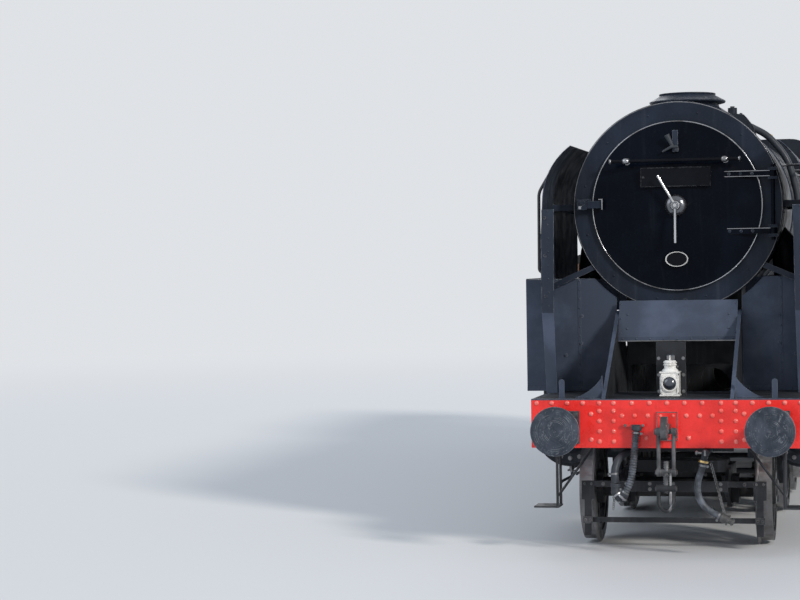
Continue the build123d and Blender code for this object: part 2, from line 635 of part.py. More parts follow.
def head_lamp():
    lamp_y = LAMP_BRACKET_Y - 8 - SEAT
    z = PLATFORM_Z + 6
    front, middle = lamp_y - 151, lamp_y - 76
    case = block(-80, 80, front + 6, lamp_y, z, z + 204)
    rims = [block(-86, 86, front, lamp_y, z, z + 14), block(-86, 86, front, lamp_y, z + 196, z + 208)]
    vent = turned_z([(0, z + 200), (70, z + 208), (64, z + 222), (52, z + 234), (50, z + 262), (58, z + 266),
                     (58, z + 288),
                     (44, z + 302), (0, z + 304)], 0, middle)
    handle = block(-9, 9, middle - 8, middle + 8, z + 262, z + 344)
    lens = turned_y([(0, front + 8), (70, front + 8), (68, front - 12), (54, front - 14), (40, front - 24),
                     (0, front - 30)], 0, z + 108)
    node("head_lamp", joined(case, rims, vent, handle, lens))


def deflectors():
    """Smoke deflectors: flat below, curved in towards the boiler above, with stays and a stiffener."""
    t = SKIN
    rise = DEFLECTOR_TOP_Z - DEFLECTOR_BEND_Z
    inward = DEFLECTOR_X - DEFLECTOR_TOP_X
    r = (rise ** 2 + inward ** 2) / (2 * inward)
    cx, turn = DEFLECTOR_X - r, atan2(rise, r - inward)

    def curve(radius):
        spots = [(cx + radius * cos(a), 0, DEFLECTOR_BEND_Z + radius * sin(a)) for a in (0, turn / 2, turn)]
        return ThreePointArc(*spots)

    outer, inner = curve(r), curve(r - t)
    edges = [Line((DEFLECTOR_X, 0, PLATFORM_Z), outer @ 0), outer, Line(outer @ 1, inner @ 1), inner]
    edges += [Line(inner @ 0, (DEFLECTOR_X - t, 0, PLATFORM_Z)),
              Line((DEFLECTOR_X - t, 0, PLATFORM_Z), (DEFLECTOR_X, 0, PLATFORM_Z))]
    sheet = Pos(0, 1000, 0) * extrude(make_face(edges), amount=2600, dir=(0, 1, 0))
    # the sheet's outline seen from the side
    top = DEFLECTOR_TOP_Z + 10
    foot_y, nose_y, low, high = 1350.0, 1150.0, BOILER_Z - 921, BOILER_Z - 221
    outline = [(foot_y, PLATFORM_Z), (nose_y, low), (nose_y, high), (1400, top), (DEFLECTOR_REAR_Y - 80, top)]
    outline += [(DEFLECTOR_REAR_Y, top - 175)]
    outline += [(DEFLECTOR_REAR_Y, BOARD_Z), (DROP_SHEET_Y, BOARD_Z), (DROP_SHEET_Y, PLATFORM_Z)]
    sheet &= plate_side(outline, 500, 1300)
    x = DEFLECTOR_X - t
    web_top = BOILER_Z - 21
    web = [(foot_y, PLATFORM_Z), (foot_y + 12, PLATFORM_Z), (nose_y + 12, low), (nose_y + 12, web_top),
           (nose_y, web_top), (nose_y, low)]
    flange = plate_side(web, x - 110, x)
    flange &= plate_cross([(x - 90, PLATFORM_Z), (x, PLATFORM_Z), (x, web_top), (x - 110, web_top)], 1000,
                          1500)
    smokebox = rod_y(SMOKEBOX_R + SEAT, SMOKEBOX_FRONT_Y + RING_DEPTH, 4000, 0, BOILER_Z)
    smokebox = smokebox.fuse(rod_y(RING_R + SEAT, 1000, SMOKEBOX_FRONT_Y + RING_DEPTH + SEAT, 0, BOILER_Z))
    stay_z = BOILER_Z + 35
    stays = []
    for y in (1800, 3000):
        stays.append(block(800, x, y, y + 50, stay_z - 12, stay_z))
        stays.append(block(800, x, y, y + 12, stay_z - 58, stay_z))
    y, z = SMOKEBOX_FRONT_Y + 12, BOILER_Z - 536
    stays.append(plate_cross([(700, z), (x, z - 190), (x, z - 135), (700, z + 55)], y, y + 14))
    left = joined(sheet, flange, [s - smokebox for s in stays])
    node("deflector_left", left)
    node("deflector_right", other_side(left))
    out = DEFLECTOR_X + 70
    y = 1480.0
    route = [(DEFLECTOR_X + SEAT, y, BOARD_Z + 60), (out, y, BOARD_Z + 60), (out, y, BOILER_Z - 221),
             (out - 6, y, BOILER_Z + 139)]
    route.append((DEFLECTOR_X - 63, y, BOILER_Z + 349))
    inside = [Line((0, 0, PLATFORM_Z), (DEFLECTOR_X + SEAT, 0, PLATFORM_Z)), curve(r + SEAT)]
    inside.insert(1, Line(inside[0] @ 1, inside[1] @ 0))
    inside += [Line(inside[-1] @ 1, (0, 0, DEFLECTOR_TOP_Z)),
               Line((0, 0, DEFLECTOR_TOP_Z), (0, 0, PLATFORM_Z))]
    behind = Pos(0, 1000, 0) * extrude(make_face(inside), amount=2600, dir=(0, 1, 0))
    return max((tube_of(route, [40, 900, 150], 14) - behind).solids(), key=lambda s: s.volume)


def smokebox():
    r, t = SMOKEBOX_R, SMOKEBOX_SKIN
    y0, y1 = SMOKEBOX_FRONT_Y, SMOKEBOX_REAR_Y
    shell = [(DOOR_OPENING_R, y0), (RING_R - 12, y0), (RING_R, y0 + 12), (RING_R, y0 + RING_DEPTH),
             (r, y0 + RING_DEPTH)]
    shell += [(r, y1), (r - t, y1), (r - t, y0 + 25), (DOOR_OPENING_R, y0 + 25)]
    body = turned_y(shell, 0, BOILER_Z)
    body -= rod_z(CHIMNEY_BORE_R, BOILER_Z, HEIGHT, 0, CHIMNEY_Y)
    lugs = []
    for z in HINGE_ZS:
        for dz in (-52, 28):
            lug = block(HINGE_X - 40, HINGE_X + 40, HINGE_Y - 34, y0, z + dz, z + dz + 24)
            lugs.append(lug - rod_z(HINGE_PIN_R + SEAT, 0, 4000, HINGE_X, HINGE_Y))
    catch = block(-RING_R + 40, -DOOR_R - 8, y0 - 70, y0, BOILER_Z + 20, BOILER_Z + 75)
    node("smokebox", joined(body, lugs, catch))


def smokebox_door():
    """A dished door with its rim, an inner baffle, two strap hinges and the dart's boss."""
    back = SMOKEBOX_FRONT_Y - DOOR_GAP
    front = back - DOOR_RIM
    rise = DOOR_DISH - DOOR_RIM
    flat_r = 700.0
    ball = (flat_r ** 2 + rise ** 2) / (2 * rise)
    outer = ThreePointArc((0, front - rise), (flat_r / 2,
                                              front - rise + ball - sqrt(ball ** 2 - flat_r ** 2 / 4)),
                          (flat_r, front))
    edge = Polyline((flat_r, front), (DOOR_R, front), (DOOR_R, back), (DOOR_OPENING_R - 40, back), (0, back),
                    (0, front - rise))
    dish = Pos(0, 0, BOILER_Z) * revolve(make_face([outer, edge]), Axis.Y)
    inner_r = flat_r - 60
    hollow = Pos(0, 0, BOILER_Z) * revolve(
        make_face([ThreePointArc((0, front - rise + DOOR_SKIN),
                                 (inner_r / 2, front - rise + DOOR_SKIN + inner_r ** 2 / 8 / ball),
                                 (inner_r, front + DOOR_SKIN)),
                   Polyline((inner_r, front + DOOR_SKIN), (inner_r, back + 1), (0, back + 1),
                            (0, front - rise + DOOR_SKIN))]), Axis.Y)
    dish -= hollow
    baffle = rod_y(inner_r - 30, back + 10, back + 18, 0, BOILER_Z)
    boss = rod_y(90, front - rise - 22, back + 12, 0, BOILER_Z)
    stays = [rod_y(14, front - 20, back + 12, 520 * cos(a), BOILER_Z + 520 * sin(a)) for a in (0.5, 1.6, 2.7,
                                                                                               3.9, 5.3)]
    body = joined(dish, baffle, boss, stays)
    arms = []
    for z in HINGE_ZS:
        arm = block(420, HINGE_X - 10, HINGE_Y - 14, HINGE_Y + 14, z - 25, z + 25)
        foot = block(420, DOOR_R - 2, HINGE_Y - 14, front + 6, z - 25, z + 25)
        barrel = rod_z(31, z - 26, z + 26, HINGE_X, HINGE_Y)
        arms += [joined(arm, foot, barrel)]
    body = joined(body, arms)
    body = joined(body, rod_z(HINGE_PIN_R, HINGE_ZS[0] - 80, HINGE_ZS[1] + 80, HINGE_X, HINGE_Y))
    node("smokebox_door", body)


def door_face_y(x, z):
    """The door's outer surface in front of the point (x, z)."""
    rise = DOOR_DISH - DOOR_RIM
    front = SMOKEBOX_FRONT_Y - DOOR_GAP - DOOR_RIM
    ball = (700.0 ** 2 + rise ** 2) / (2 * rise)
    d = hypot(x, z - BOILER_Z)
    return front - rise + ball - sqrt(ball ** 2 - d ** 2)


def in_front(x, z, r):
    """The foremost point of the door's surface under a round foot of radius r, less the seat."""
    d = hypot(x, z - BOILER_Z)
    share = max(0.0, d - r) / d if d else 0.0
    return door_face_y(x * share, BOILER_Z + (z - BOILER_Z) * share) - SEAT


def door_fittings():
    boss_y = SMOKEBOX_FRONT_Y - DOOR_GAP - DOOR_DISH - 22
    spindle = rod_y(26, boss_y - 95, boss_y - SEAT, 0, BOILER_Z)
    down = rod((0, boss_y - 70, BOILER_Z), (0, boss_y - 85, BOILER_Z - 330), 13)
    up = rod((0, boss_y - 50, BOILER_Z), (-150, boss_y - 66, BOILER_Z + 262), 13)
    hub = turned_y([(0, boss_y - 60), (38, boss_y - 60), (44, boss_y - 30), (66, boss_y - 22),
                    (68, boss_y - SEAT), (0, boss_y - SEAT)],
                   0, BOILER_Z)
    dart = joined(spindle, down, up, hub)
    z = BOILER_Z + 395
    rail_y = in_front(0, z, 0) - 62
    rail = rod_x(15, -560, 550, rail_y, z)
    knobs = [rod_y(13, rail_y, in_front(x, z, 13), x, z) for x in (-430, 430)]
    iron_z = BOILER_Z + 470
    iron_y = in_front(0, iron_z, 0)
    iron = joined(block(-24, 24, iron_y - 24, iron_y - 12, iron_z, iron_z + 190),
                  block(-24, 24, iron_y - 13, iron_y, iron_z, iron_z + 40))
    plate_z = BOILER_Z + 250
    plate_y = in_front(0, plate_z - 85, 0) - 24
    plate = block(-305, 305, plate_y, plate_y + 12, plate_z - 85, plate_z + 85)
    studs = [rod_y(12, plate_y + 12, in_front(x, plate_z, 12), x, plate_z) for x in (-230, 230)]
    oval_z = BOILER_Z - 470
    oval_y = in_front(0, oval_z, 66) - 14
    oval = Pos(0, oval_y + 12, oval_z) * Rot(90, 0, 0) * extrude(Ellipse(100, 66), amount=12)
    oval_stud = rod_y(30, oval_y + 12, in_front(0, oval_z, 30), 0, oval_z)
    node("door_fittings", dart, joined(rail, knobs), iron, joined(plate, studs), joined(oval, oval_stud))


def chimney():
    z, top = SMOKEBOX_TOP_Z, SMOKEBOX_TOP_Z + CHIMNEY_RISE
    outer = [(CHIMNEY_BORE_R, z - 260), (470, z - 260), (430, z - 60), (340, z + 2),
             (CHIMNEY_BODY_R + 8, z + 30)]
    outer += [(CHIMNEY_BODY_R, top - 105), (CHIMNEY_RIM_R - 8, top - 92), (CHIMNEY_RIM_R, top - 84),
              (CHIMNEY_RIM_R, top - 74)]
    outer += [(CHIMNEY_RIM_R - 12, top - 66), (310, top - 50), (262, top - 24), (250, top),
              (CHIMNEY_BORE_R, top)]
    body = turned_z(outer, 0, CHIMNEY_Y)
    body -= rod_y(SMOKEBOX_R + SEAT, 1000, 4500, 0, BOILER_Z)
    node("chimney", body)
    low = BOILER_Z - 671
    pipe = turned_z([(0, low), (190, low), (150, low + 450), (120, low + 650), (70, low + 650),
                     (70, low + 610), (0, low + 610)],
                    0, CHIMNEY_Y)
    base = rod_z(150, BOILER_Z - SMOKEBOX_R + 60, low, 0, CHIMNEY_Y)
    foot = block(-250, 250, CHIMNEY_Y - 200, CHIMNEY_Y + 200, low - 300, low - 100)
    foot &= rod_y(SMOKEBOX_R - SMOKEBOX_SKIN - SEAT, 1000, 4500, 0, BOILER_Z)
    node("blast_pipe", joined(pipe, base, foot))


def barrel_cut():
    """The tapered barrel grown by the seat's clearance, to cut what stands on it."""
    y0, y1 = SMOKEBOX_REAR_Y, FIREBOX_FRONT_Y
    return turned_y([(0, y0), (BARREL_FRONT_R + SEAT, y0), (BARREL_REAR_R + SEAT, y1), (0, y1)], 0, BOILER_Z)


def boiler():
    y0, y1 = SMOKEBOX_REAR_Y, FIREBOX_FRONT_Y
    barrel = turned_y([(0, y0), (BARREL_FRONT_R - 14, y0), (BARREL_FRONT_R, y0 + 14), (BARREL_REAR_R, y1),
                       (0, y1)], 0, BOILER_Z)
    node("boiler_barrel", barrel)


def firebox_outline(half, top, low, y):
    """Right half and left half of the wide firebox with a flat top, as one face at y."""
    c = FIREBOX_CORNER
    shoulder = top - c
    lower = low + 60
    k = c * (1 - cos(pi / 4))
    crown = ThreePointArc((half, y, shoulder), (half - k, y, top - k), (half - c, y, top))
    waist = BOILER_Z - FIREBOX_WAIST_DROP
    pts_right = Polyline((half - 95, y, low), (half - 95, y, lower), (half, y, waist), (half, y, shoulder))
    roof = Line((half - c, y, top), (-half + c, y, top))
    crown_l = ThreePointArc((-half + c, y, top), (-half + k, y, top - k), (-half, y, shoulder))
    pts_left = Polyline((-half, y, shoulder), (-half, y, waist), (-half + 95, y, lower), (-half + 95, y, low))
    floor = Line((-half + 95, y, low), (half - 95, y, low))
    return make_face([pts_right, crown, roof, crown_l, pts_left, floor])


def firebox():
    front = firebox_outline(FIREBOX_HALF, FIREBOX_TOP_Z, FIREBOX_LOW_Z, FIREBOX_FRONT_Y)
    back = firebox_outline(FIREBOX_HALF - FIREBOX_NARROWING, FIREBOX_TOP_Z - FIREBOX_TOP_DROP, FIREBOX_LOW_Z,
                           BACKHEAD_Y)
    node("firebox", loft([front, back], ruled=True))


def firebox_cut(gap):
    """The firebox grown by gap, to cut the cab's front sheet and floor."""
    front = firebox_outline(FIREBOX_HALF + gap, FIREBOX_TOP_Z + gap, FIREBOX_LOW_Z - gap, FIREBOX_FRONT_Y)
    back = firebox_outline(FIREBOX_HALF - FIREBOX_NARROWING + gap, FIREBOX_TOP_Z - FIREBOX_TOP_DROP + gap,
                           FIREBOX_LOW_Z - gap, BACKHEAD_Y)
    return loft([front, back], ruled=True)


def ashpan():
    top = FIREBOX_LOW_Z - SEAT
    half, front, back = FIREBOX_HALF - 95, FIREBOX_FRONT_Y + 150, BACKHEAD_Y - 70
    upper = block(-half, half, front, back, top - 50, top)
    hoppers = []
    for y0, y1 in ((front + 60, BETWEEN_YS[-1] - 160), (BETWEEN_YS[-1] + 160, back - 70)):
        lean = 0.2 * (y1 - y0)
        low = [(y0, top - 50), (y1, top - 50), (y1 - lean, ASHPAN_LOW_Z), (y0 + lean, ASHPAN_LOW_Z)]
        hoppers.append(plate_side(low, -FRAME_INNER_X + 49, FRAME_INNER_X - 49))
    node("ashpan", joined(upper, hoppers))


def boiler_mountings():
    z, r, y = BOILER_Z, DOME_R, DOME_Y
    body = [(0, z + 800), (r, z + 800), (r, z + 905), (r - 8, z + 1007), (r - 20, z + 1026),
            (r - 50, z + 1045)]
    body += [(r - 95, z + 1055), (r - 150, z + 1061), (0, z + 1061)]
    node("dome", turned_z(body, 0, y) - barrel_cut())
    # safety valves on the firebox, and the whistle beside them
    valves = []
    base, top = FIREBOX_TOP_Z - FIREBOX_TOP_DROP, FIREBOX_TOP_Z
    for x in (-150, 150):
        valve = [(0, base), (62, base), (62, top + 42), (44, top + 56), (42, top + 100), (30, top + 118),
                 (0, top + 118)]
        valves.append(turned_z(valve, x, SAFETY_VALVE_Y))
    whistle = [(0, base), (15, base), (15, top + 20), (30, top + 24), (30, top + 86), (20, top + 100),
               (0, top + 104)]
    valves.append(turned_z(whistle, 420, SAFETY_VALVE_Y + 260))
    node("safety_valves", [v - firebox_cut(SEAT) for v in valves])
    y = SMOKEBOX_REAR_Y + 620
    cover = plate_cross([(150, z + 780), (150, z + 1000), (420, z + 960), (520, z + 830), (520, z + 700)],
                        y - 180, y + 180)
    cover = joined(cover, rod_z(46, z + 950, z + 1036, 300, y - 60))
    node("top_feeds", both_sides(cover - barrel_cut()))


# Cylinders and motion

def cylinders():
    x0 = FRAME_OUTER_X
    y0, y1 = CYL_FRONT_Y - MAIN_Y, CYL_REAR_Y - MAIN_Y
    barrel = rod_y(CYL_CLAD_R, y0, y1, CYL_X, 0)
    chest = rod_y(VALVE_CLAD_R, y0 + 40, y1 - 40, VALVE_X, VALVE_RISE)
    side_sheet = block(CYL_X - 250, VALVE_X + VALVE_CLAD_R, y0, y1, 60, VALVE_RISE)
    bolting = block(x0, CYL_X, y0, y1, -240, VALVE_RISE + 120)
    bolting = bolting & block(x0, CYL_X, y0 + 20, y1 - 20, -240, VALVE_RISE + 120)
    r = CYL_CLAD_R - COVER_LEDGE
    front_cover = turned_y([(0, y0 - 60), (r - 120, y0 - 60), (r - 90, y0 - 30), (r, y0 - 30), (r, y0),
                            (0, y0)], CYL_X, 0)
    rear_cover = turned_y([(0, y1), (r - 5, y1), (r - 5, y1 + 28), (80, y1 + 28), (80, y1 + 70),
                           (0, y1 + 70)], CYL_X, 0)
    valve_front = rod_y(165, y0 - 20, y0 + 60, VALVE_X, VALVE_RISE)
    valve_tip = rod_y(70, y0 - 95, y0 - 20, VALVE_X, VALVE_RISE)
    valve_rear = rod_y(165, y1 - 60, y1 + 20, VALVE_X, VALVE_RISE)
    cast = joined(barrel, chest, side_sheet, bolting, front_cover, rear_cover, valve_front, valve_tip,
                  valve_rear)
    cast -= rod_y(PISTON_ROD_R + 1, y1 + 30, y1 + 400, CYL_X, 0)
    left = on_axis(cast)
    left -= block(0, x0, 1500, 4000, 0, 2200)
    node("cylinder_left", left)
    node("cylinder_right", other_side(left))


def motion():
    """Slide bars, crossheads, connecting rods and valve gear, fixed where they rest."""
    bars, heads, rods, gear = [], [], [], []
    y0, y1 = SLIDE_FRONT_Y - MAIN_Y, SLIDE_REAR_Y - MAIN_Y
    for side in (LEFT, RIGHT):
        run, pin_along, pin_across = crosshead_run(side)
        top = block(CROSSHEAD_IN_X + 10, CROSSHEAD_OUT_X - 10, y0, y1, 192, 236)
        lower = [block(CROSSHEAD_IN_X, CROSSHEAD_IN_X + 34, y0, y1, 88, 128),
                 block(CROSSHEAD_OUT_X - 34, CROSSHEAD_OUT_X, y0, y1, 88, 128)]
        end = block(CROSSHEAD_IN_X, CROSSHEAD_OUT_X, CYL_REAR_Y - MAIN_Y + 28 + SEAT, y0, 88, 236)
        set_of_bars = joined(top, lower, end)
        slipper = block(CROSSHEAD_IN_X + 2, CROSSHEAD_OUT_X - 2, run - 250, run + 210, 130, 190)
        neck = block(CYL_X - 36, CYL_X + 36, run - 190, run + 150, 60, 131)
        cheeks = joined(block(CYL_X - 62, CYL_X + 62, run - 120, run + 110, -95, 70), neck)
        cheeks = joined(cheeks, turned_y([(0, run - 300), (60, run - 300), (82, run - 120), (0, run - 110)],
                                         CYL_X, 0))
        fork = block(CYL_X - 34, CYL_X + 34, run - 88, run + 200, -120, 86)
        head = joined(cheeks - fork, slipper)
        piston_rod = rod_y(PISTON_ROD_R, CYL_REAR_Y - MAIN_Y + 35, run - 290, CYL_X, 0)
        arm = plate_side([(run - 45, -90), (run + 45, -90), (run + 22, -330), (run - 22, -330)], CYL_X + 62,
                         DROP_ARM_X)
        head = joined(head, piston_rod, arm)
        # connecting rod from the crosshead's pin to the main crank pin
        length = hypot(pin_along - run, pin_across)
        slope = degrees(atan2(pin_across, pin_along - run))
        small = rod_x(78, CYL_X - 33, CYL_X + 33, 0, 0)
        big = rod_x(150, CYL_X - 50, CYL_X + 50, length, 0)
        shank = plate_side([(20, -52), (length - 60, -74), (length - 60, 74), (20, 52)], CYL_X - 30,
                           CYL_X + 30)
        flute = plate_side([(150, -30), (length - 240, -48), (length - 240, 48), (150, 30)], CYL_X + 12,
                           CYL_X + 60)
        stub = rod_x(86, SIDE_ROD_OUT_X + PIN_PLAY + COLLAR_THICK + 6, CYL_X + 62, length, 0)
        rod_piece = joined(small, big, shank - flute, stub)
        rod_piece = Pos(0, run, 0) * Rot(slope, 0, 0) * rod_piece
        for lot, piece in ((bars, set_of_bars), (heads, head), (rods, rod_piece)):
            placed = on_axis(piece)
            lot.append(placed if side == LEFT else other_side(placed))
        linkage = valve_gear(side, run)
        gear.append(linkage if side == LEFT else other_side(linkage))
    node("slide_bars", bars)
    node("crossheads", heads)
    node("connecting_rods", rods)
    node("valve_gear", gear)


def valve_gear(side, run):
    """Return crank, eccentric rod, expansion link, radius rod, combination lever and union link."""
    pin_y, pin_z = crank_spot(side)
    pin = (MAIN_Y + pin_y, AXLE_Z + pin_z)
    turn = radians(CRANK_TURN[side] + 90)
    ecc = (MAIN_Y - ECCENTRIC_R * sin(turn), AXLE_Z + ECCENTRIC_R * cos(turn))
    crank_arm = bar_between(pin, ecc, 62, CYL_X + 62 + SEAT, GEAR_X + 1)
    tail = (LINK_Y + 40, LINK_Z - 430)
    eccentric = bar_between(ecc, tail, 38, GEAR_X, GEAR_X + 34)
    ecc_eye = rod_x(70, GEAR_X, GEAR_X + 50, *ecc)
    link = plate_side([(LINK_Y - 50, LINK_Z - 470), (LINK_Y + 60, LINK_Z - 470), (LINK_Y + 45, LINK_Z - 250),
                       (LINK_Y + 95, LINK_Z),
                       (LINK_Y + 45, LINK_Z + 260), (LINK_Y - 45, LINK_Z + 260), (LINK_Y + 5, LINK_Z),
                       (LINK_Y - 45, LINK_Z - 250)],
                      GEAR_X + 30, GEAR_X + 74)
    trunnion = rod_x(34, GEAR_X + 40, GEAR_X + 110, LINK_Y + 30, LINK_Z)
    gland = on_axis_point(CYL_REAR_Y + 20 + SEAT, VALVE_RISE)
    guide_at = on_axis_point(CYL_REAR_Y + 330, VALVE_RISE)
    radius = bar_between((LINK_Y + 20, LINK_Z - 80), (guide_at[0], guide_at[1] - 60), 32, GEAR_X - 1,
                         GEAR_X + 31)
    drop = on_axis_point(MAIN_Y + run, -300)
    low = (drop[0] - 470, drop[1])
    lever = bar_between(guide_at, low, 34, LEVER_X, GEAR_X)
    union = bar_between(low, drop, 24, DROP_ARM_X + SEAT, GEAR_X - 2)
    spindle = rod((VALVE_X, *gland), (VALVE_X, *guide_at), 28)
    guide = block(VALVE_X - 45, GEAR_X - 2, guide_at[0] - 45, guide_at[0] + 55, guide_at[1] - 45,
                  guide_at[1] + 45)
    return joined(radius, lever, union, spindle, guide, link, trunnion, eccentric, ecc_eye, crank_arm)


def bar_between(a, b, half, x0, x1):
    """A flat bar with round ends between two (y, z) points, from x0 to x1."""
    dy, dz = b[0] - a[0], b[1] - a[1]
    length = hypot(dy, dz)
    ny, nz = -dz / length * half * 0.8, dy / length * half * 0.8
    corners = [(a[0] + ny, a[1] + nz), (b[0] + ny, b[1] + nz), (b[0] - ny, b[1] - nz), (a[0] - ny, a[1] - nz)]
    return joined(plate_side(corners, x0, x1), rod_x(half, x0, x1, *a), rod_x(half, x0, x1, *b))


def motion_brackets():
    """Plates over the wheels that carry the slide bars' rear ends and the expansion links."""
    y0 = SLIDE_REAR_Y + 1
    bar_low = axis_z(SLIDE_REAR_Y) + 88
    outline = [(FRAME_OUTER_X, FRAME_TOP_Z + 10), (1300, FRAME_TOP_Z + 10), (1300, LINK_Z - 90),
               (1250, LINK_Z - 90)]
    outline += [(1240, 1380), (CROSSHEAD_OUT_X + 5, 1380), (CROSSHEAD_OUT_X + 5, bar_low),
                (CROSSHEAD_IN_X - 5, bar_low)]
    outline += [(CROSSHEAD_IN_X - 5, 1330), (900, 1430), (FRAME_OUTER_X, 1430)]
    plate = plate_cross(outline, y0 + 6, y0 + 6 + BRACKET_THICK)
    carrier = block(1262, 1300, y0 + 20, LINK_Y + 110, LINK_Z - 70, LINK_Z + 70)
    carrier -= rod_x(34 + SEAT, 1000, 1400, LINK_Y + 30, LINK_Z)
    foot = block(FRAME_OUTER_X, FRAME_OUTER_X + 60, y0 + 6, y0 + 140, 1400, FRAME_TOP_Z)
    one = joined(plate, carrier, foot)
    node("motion_brackets", both_sides(one))


# Running boards and cab

def running_boards():
    y0, y1 = DROP_SHEET_Y, CAB_FRONT_Y
    z0, z1 = BOARD_Z - SKIN, BOARD_Z
    inner, by_firebox, waist_y = BOARD_INNER_X, FIREBOX_HALF + 12, FIREBOX_FRONT_Y - 40
    outline = [(inner - 60, y0), (BOARD_HALF, y0), (BOARD_HALF, y1), (by_firebox, y1), (by_firebox, waist_y)]
    outline += [(inner + 20, waist_y), (inner - 60, SMOKEBOX_REAR_Y)]
    board = plate_flat(outline, z0, z1)
    edge = block(BOARD_HALF - 8, BOARD_HALF, y0 + SKIN, y1, z0 - BOARD_EDGE, z0)
    pieces = [board, edge]
    low, reach = BOARD_Z - 290, BOARD_HALF - 116
    # brackets under the boards, out from the smokebox and the barrel
    for y in (2050, 3300, 4500, 5800, 7100, 8300):
        web = plate_cross([(560, low), (720, low), (reach, z0 - 90), (reach, z0), (560, z0)], y, y + 12)
        if y < SMOKEBOX_REAR_Y:
            web -= rod_y(SMOKEBOX_R + SEAT, y - 50, y + 50, 0, BOILER_Z)
        else:
            web -= rod_y(BARREL_REAR_R + SEAT, y - 50, y + 50, 0, BOILER_Z)
        pieces.append(web)
    one = joined(pieces) - barrel_cut() - rod_y(SMOKEBOX_R + SEAT, 1000, SMOKEBOX_REAR_Y, 0, BOILER_Z)
    node("running_boards", both_sides(one))


def cab_outline(inset, low=CAB_LOW_Z):
    """Half width and height corners of the cab's section, moved in by inset."""
    half = WIDTH / 2 - inset
    return [(half, low), (half, CAB_WAIST_Z), (CAB_EAVES_HALF - inset, CAB_EAVES_Z)]


def front_window(gap):
    """Outline of the left window of the cab's front sheet, smaller by gap all round."""
    inner, outer, upper = FIREBOX_HALF + 65, WIDTH / 2 - 91.5, CAB_EAVES_HALF - 25
    low, high = CAB_WINDOW_LOW, CAB_EAVES_Z
    return [(inner + gap, low + gap), (outer - 1.7 * gap, low + gap), (upper - 1.7 * gap, high - 80 - gap),
            (inner + gap, high - 2.2 * gap)]


def cab():
    t = SKIN
    right = cab_outline(t)
    crown = ThreePointArc((CAB_EAVES_HALF - t, 0, CAB_EAVES_Z), (0, 0, CAB_ROOF_Z - t),
                          (-CAB_EAVES_HALF + t, 0, CAB_EAVES_Z))
    sides = [(x, 0, z) for x, z in right]
    left = [(-x, 0, z) for x, _, z in reversed(sides)]
    face = make_face([Polyline(*sides), crown, Polyline(*left), Line(left[-1], sides[0])])
    front = Pos(0, CAB_FRONT_Y, 0) * extrude(face, amount=t, dir=(0, 1, 0))
    front -= firebox_cut(3)
    front -= block(-FIREBOX_HALF, FIREBOX_HALF, CAB_FRONT_Y - 50, CAB_FRONT_Y + 50, 0, CAB_LOW_Z + 200)
    pane = plate_cross(front_window(0.0), CAB_FRONT_Y - 20, CAB_FRONT_Y + 20)
    front -= pane
    front -= other_side(pane)
    node("cab_front", front)
    # side sheets: lower part upright, upper part leaning in, two windows
    section = [(WIDTH / 2, CAB_LOW_Z), (WIDTH / 2, CAB_WAIST_Z), (CAB_EAVES_HALF, CAB_EAVES_Z)]
    inner = [(x - t, z) for x, z in reversed(section)]
    side = plate_cross(section + inner, CAB_FRONT_Y + t, CAB_REAR_Y)
    for y0, y1 in CAB_WINDOWS:
        side -= block(0, WIDTH, CAB_FRONT_Y + y0, CAB_FRONT_Y + y1, CAB_WINDOW_LOW, CAB_WINDOW_TOP)
    node("cab_side_left", side)
    node("cab_side_right", other_side(side))
    # roof with its rain strips and the ventilator's hatch
    r_out = ThreePointArc((CAB_EAVES_HALF + 20, 0, CAB_EAVES_Z + SEAT), (0, 0, CAB_ROOF_Z),
                          (-CAB_EAVES_HALF - 20, 0, CAB_EAVES_Z + SEAT))
    r_in = ThreePointArc((-CAB_EAVES_HALF, 0, CAB_EAVES_Z + SEAT), (0, 0, CAB_ROOF_Z - t + SEAT),
                         (CAB_EAVES_HALF, 0, CAB_EAVES_Z + SEAT))
    ends = [Line(r_out @ 1, r_in @ 0), Line(r_in @ 1, r_out @ 0)]
    roof = Pos(0, CAB_FRONT_Y - 60, 0) * extrude(make_face([r_out, r_in, *ends]),
                                                 amount=LENGTH - CAB_FRONT_Y + 60, dir=(0, 1, 0))
    hatch = block(-330, 330, CAB_FRONT_Y + 650, CAB_REAR_Y - 350, CAB_ROOF_Z - 16, CAB_ROOF_Z + 18)
    node("cab_roof", joined(roof, hatch))
    floor = block(-WIDTH / 2 + t, WIDTH / 2 - t, CAB_FRONT_Y + t, CAB_REAR_Y + 300,
                  CAB_FLOOR_Z - CAB_FLOOR_THICK, CAB_FLOOR_Z)
    floor -= firebox_cut(3)
    top, tail, end = FRAME_TOP_Z, FRAME_TAIL_Y, REAR_BEAM_Y - BEAM_THICK
    sole = [(BACKHEAD_Y + 130, top), (tail, top), (tail + FRAME_TAIL_SLOPE, FRAME_TAIL_Z),
            (end, FRAME_TAIL_Z)]
    sole += [(end, CAB_FLOOR_Z - CAB_FLOOR_THICK), (BACKHEAD_Y + 130, CAB_FLOOR_Z - CAB_FLOOR_THICK)]
    bearers = both_sides(plate_side(sole, FRAME_INNER_X + 8, FRAME_OUTER_X - 8))
    node("cab_floor", joined(floor, bearers))


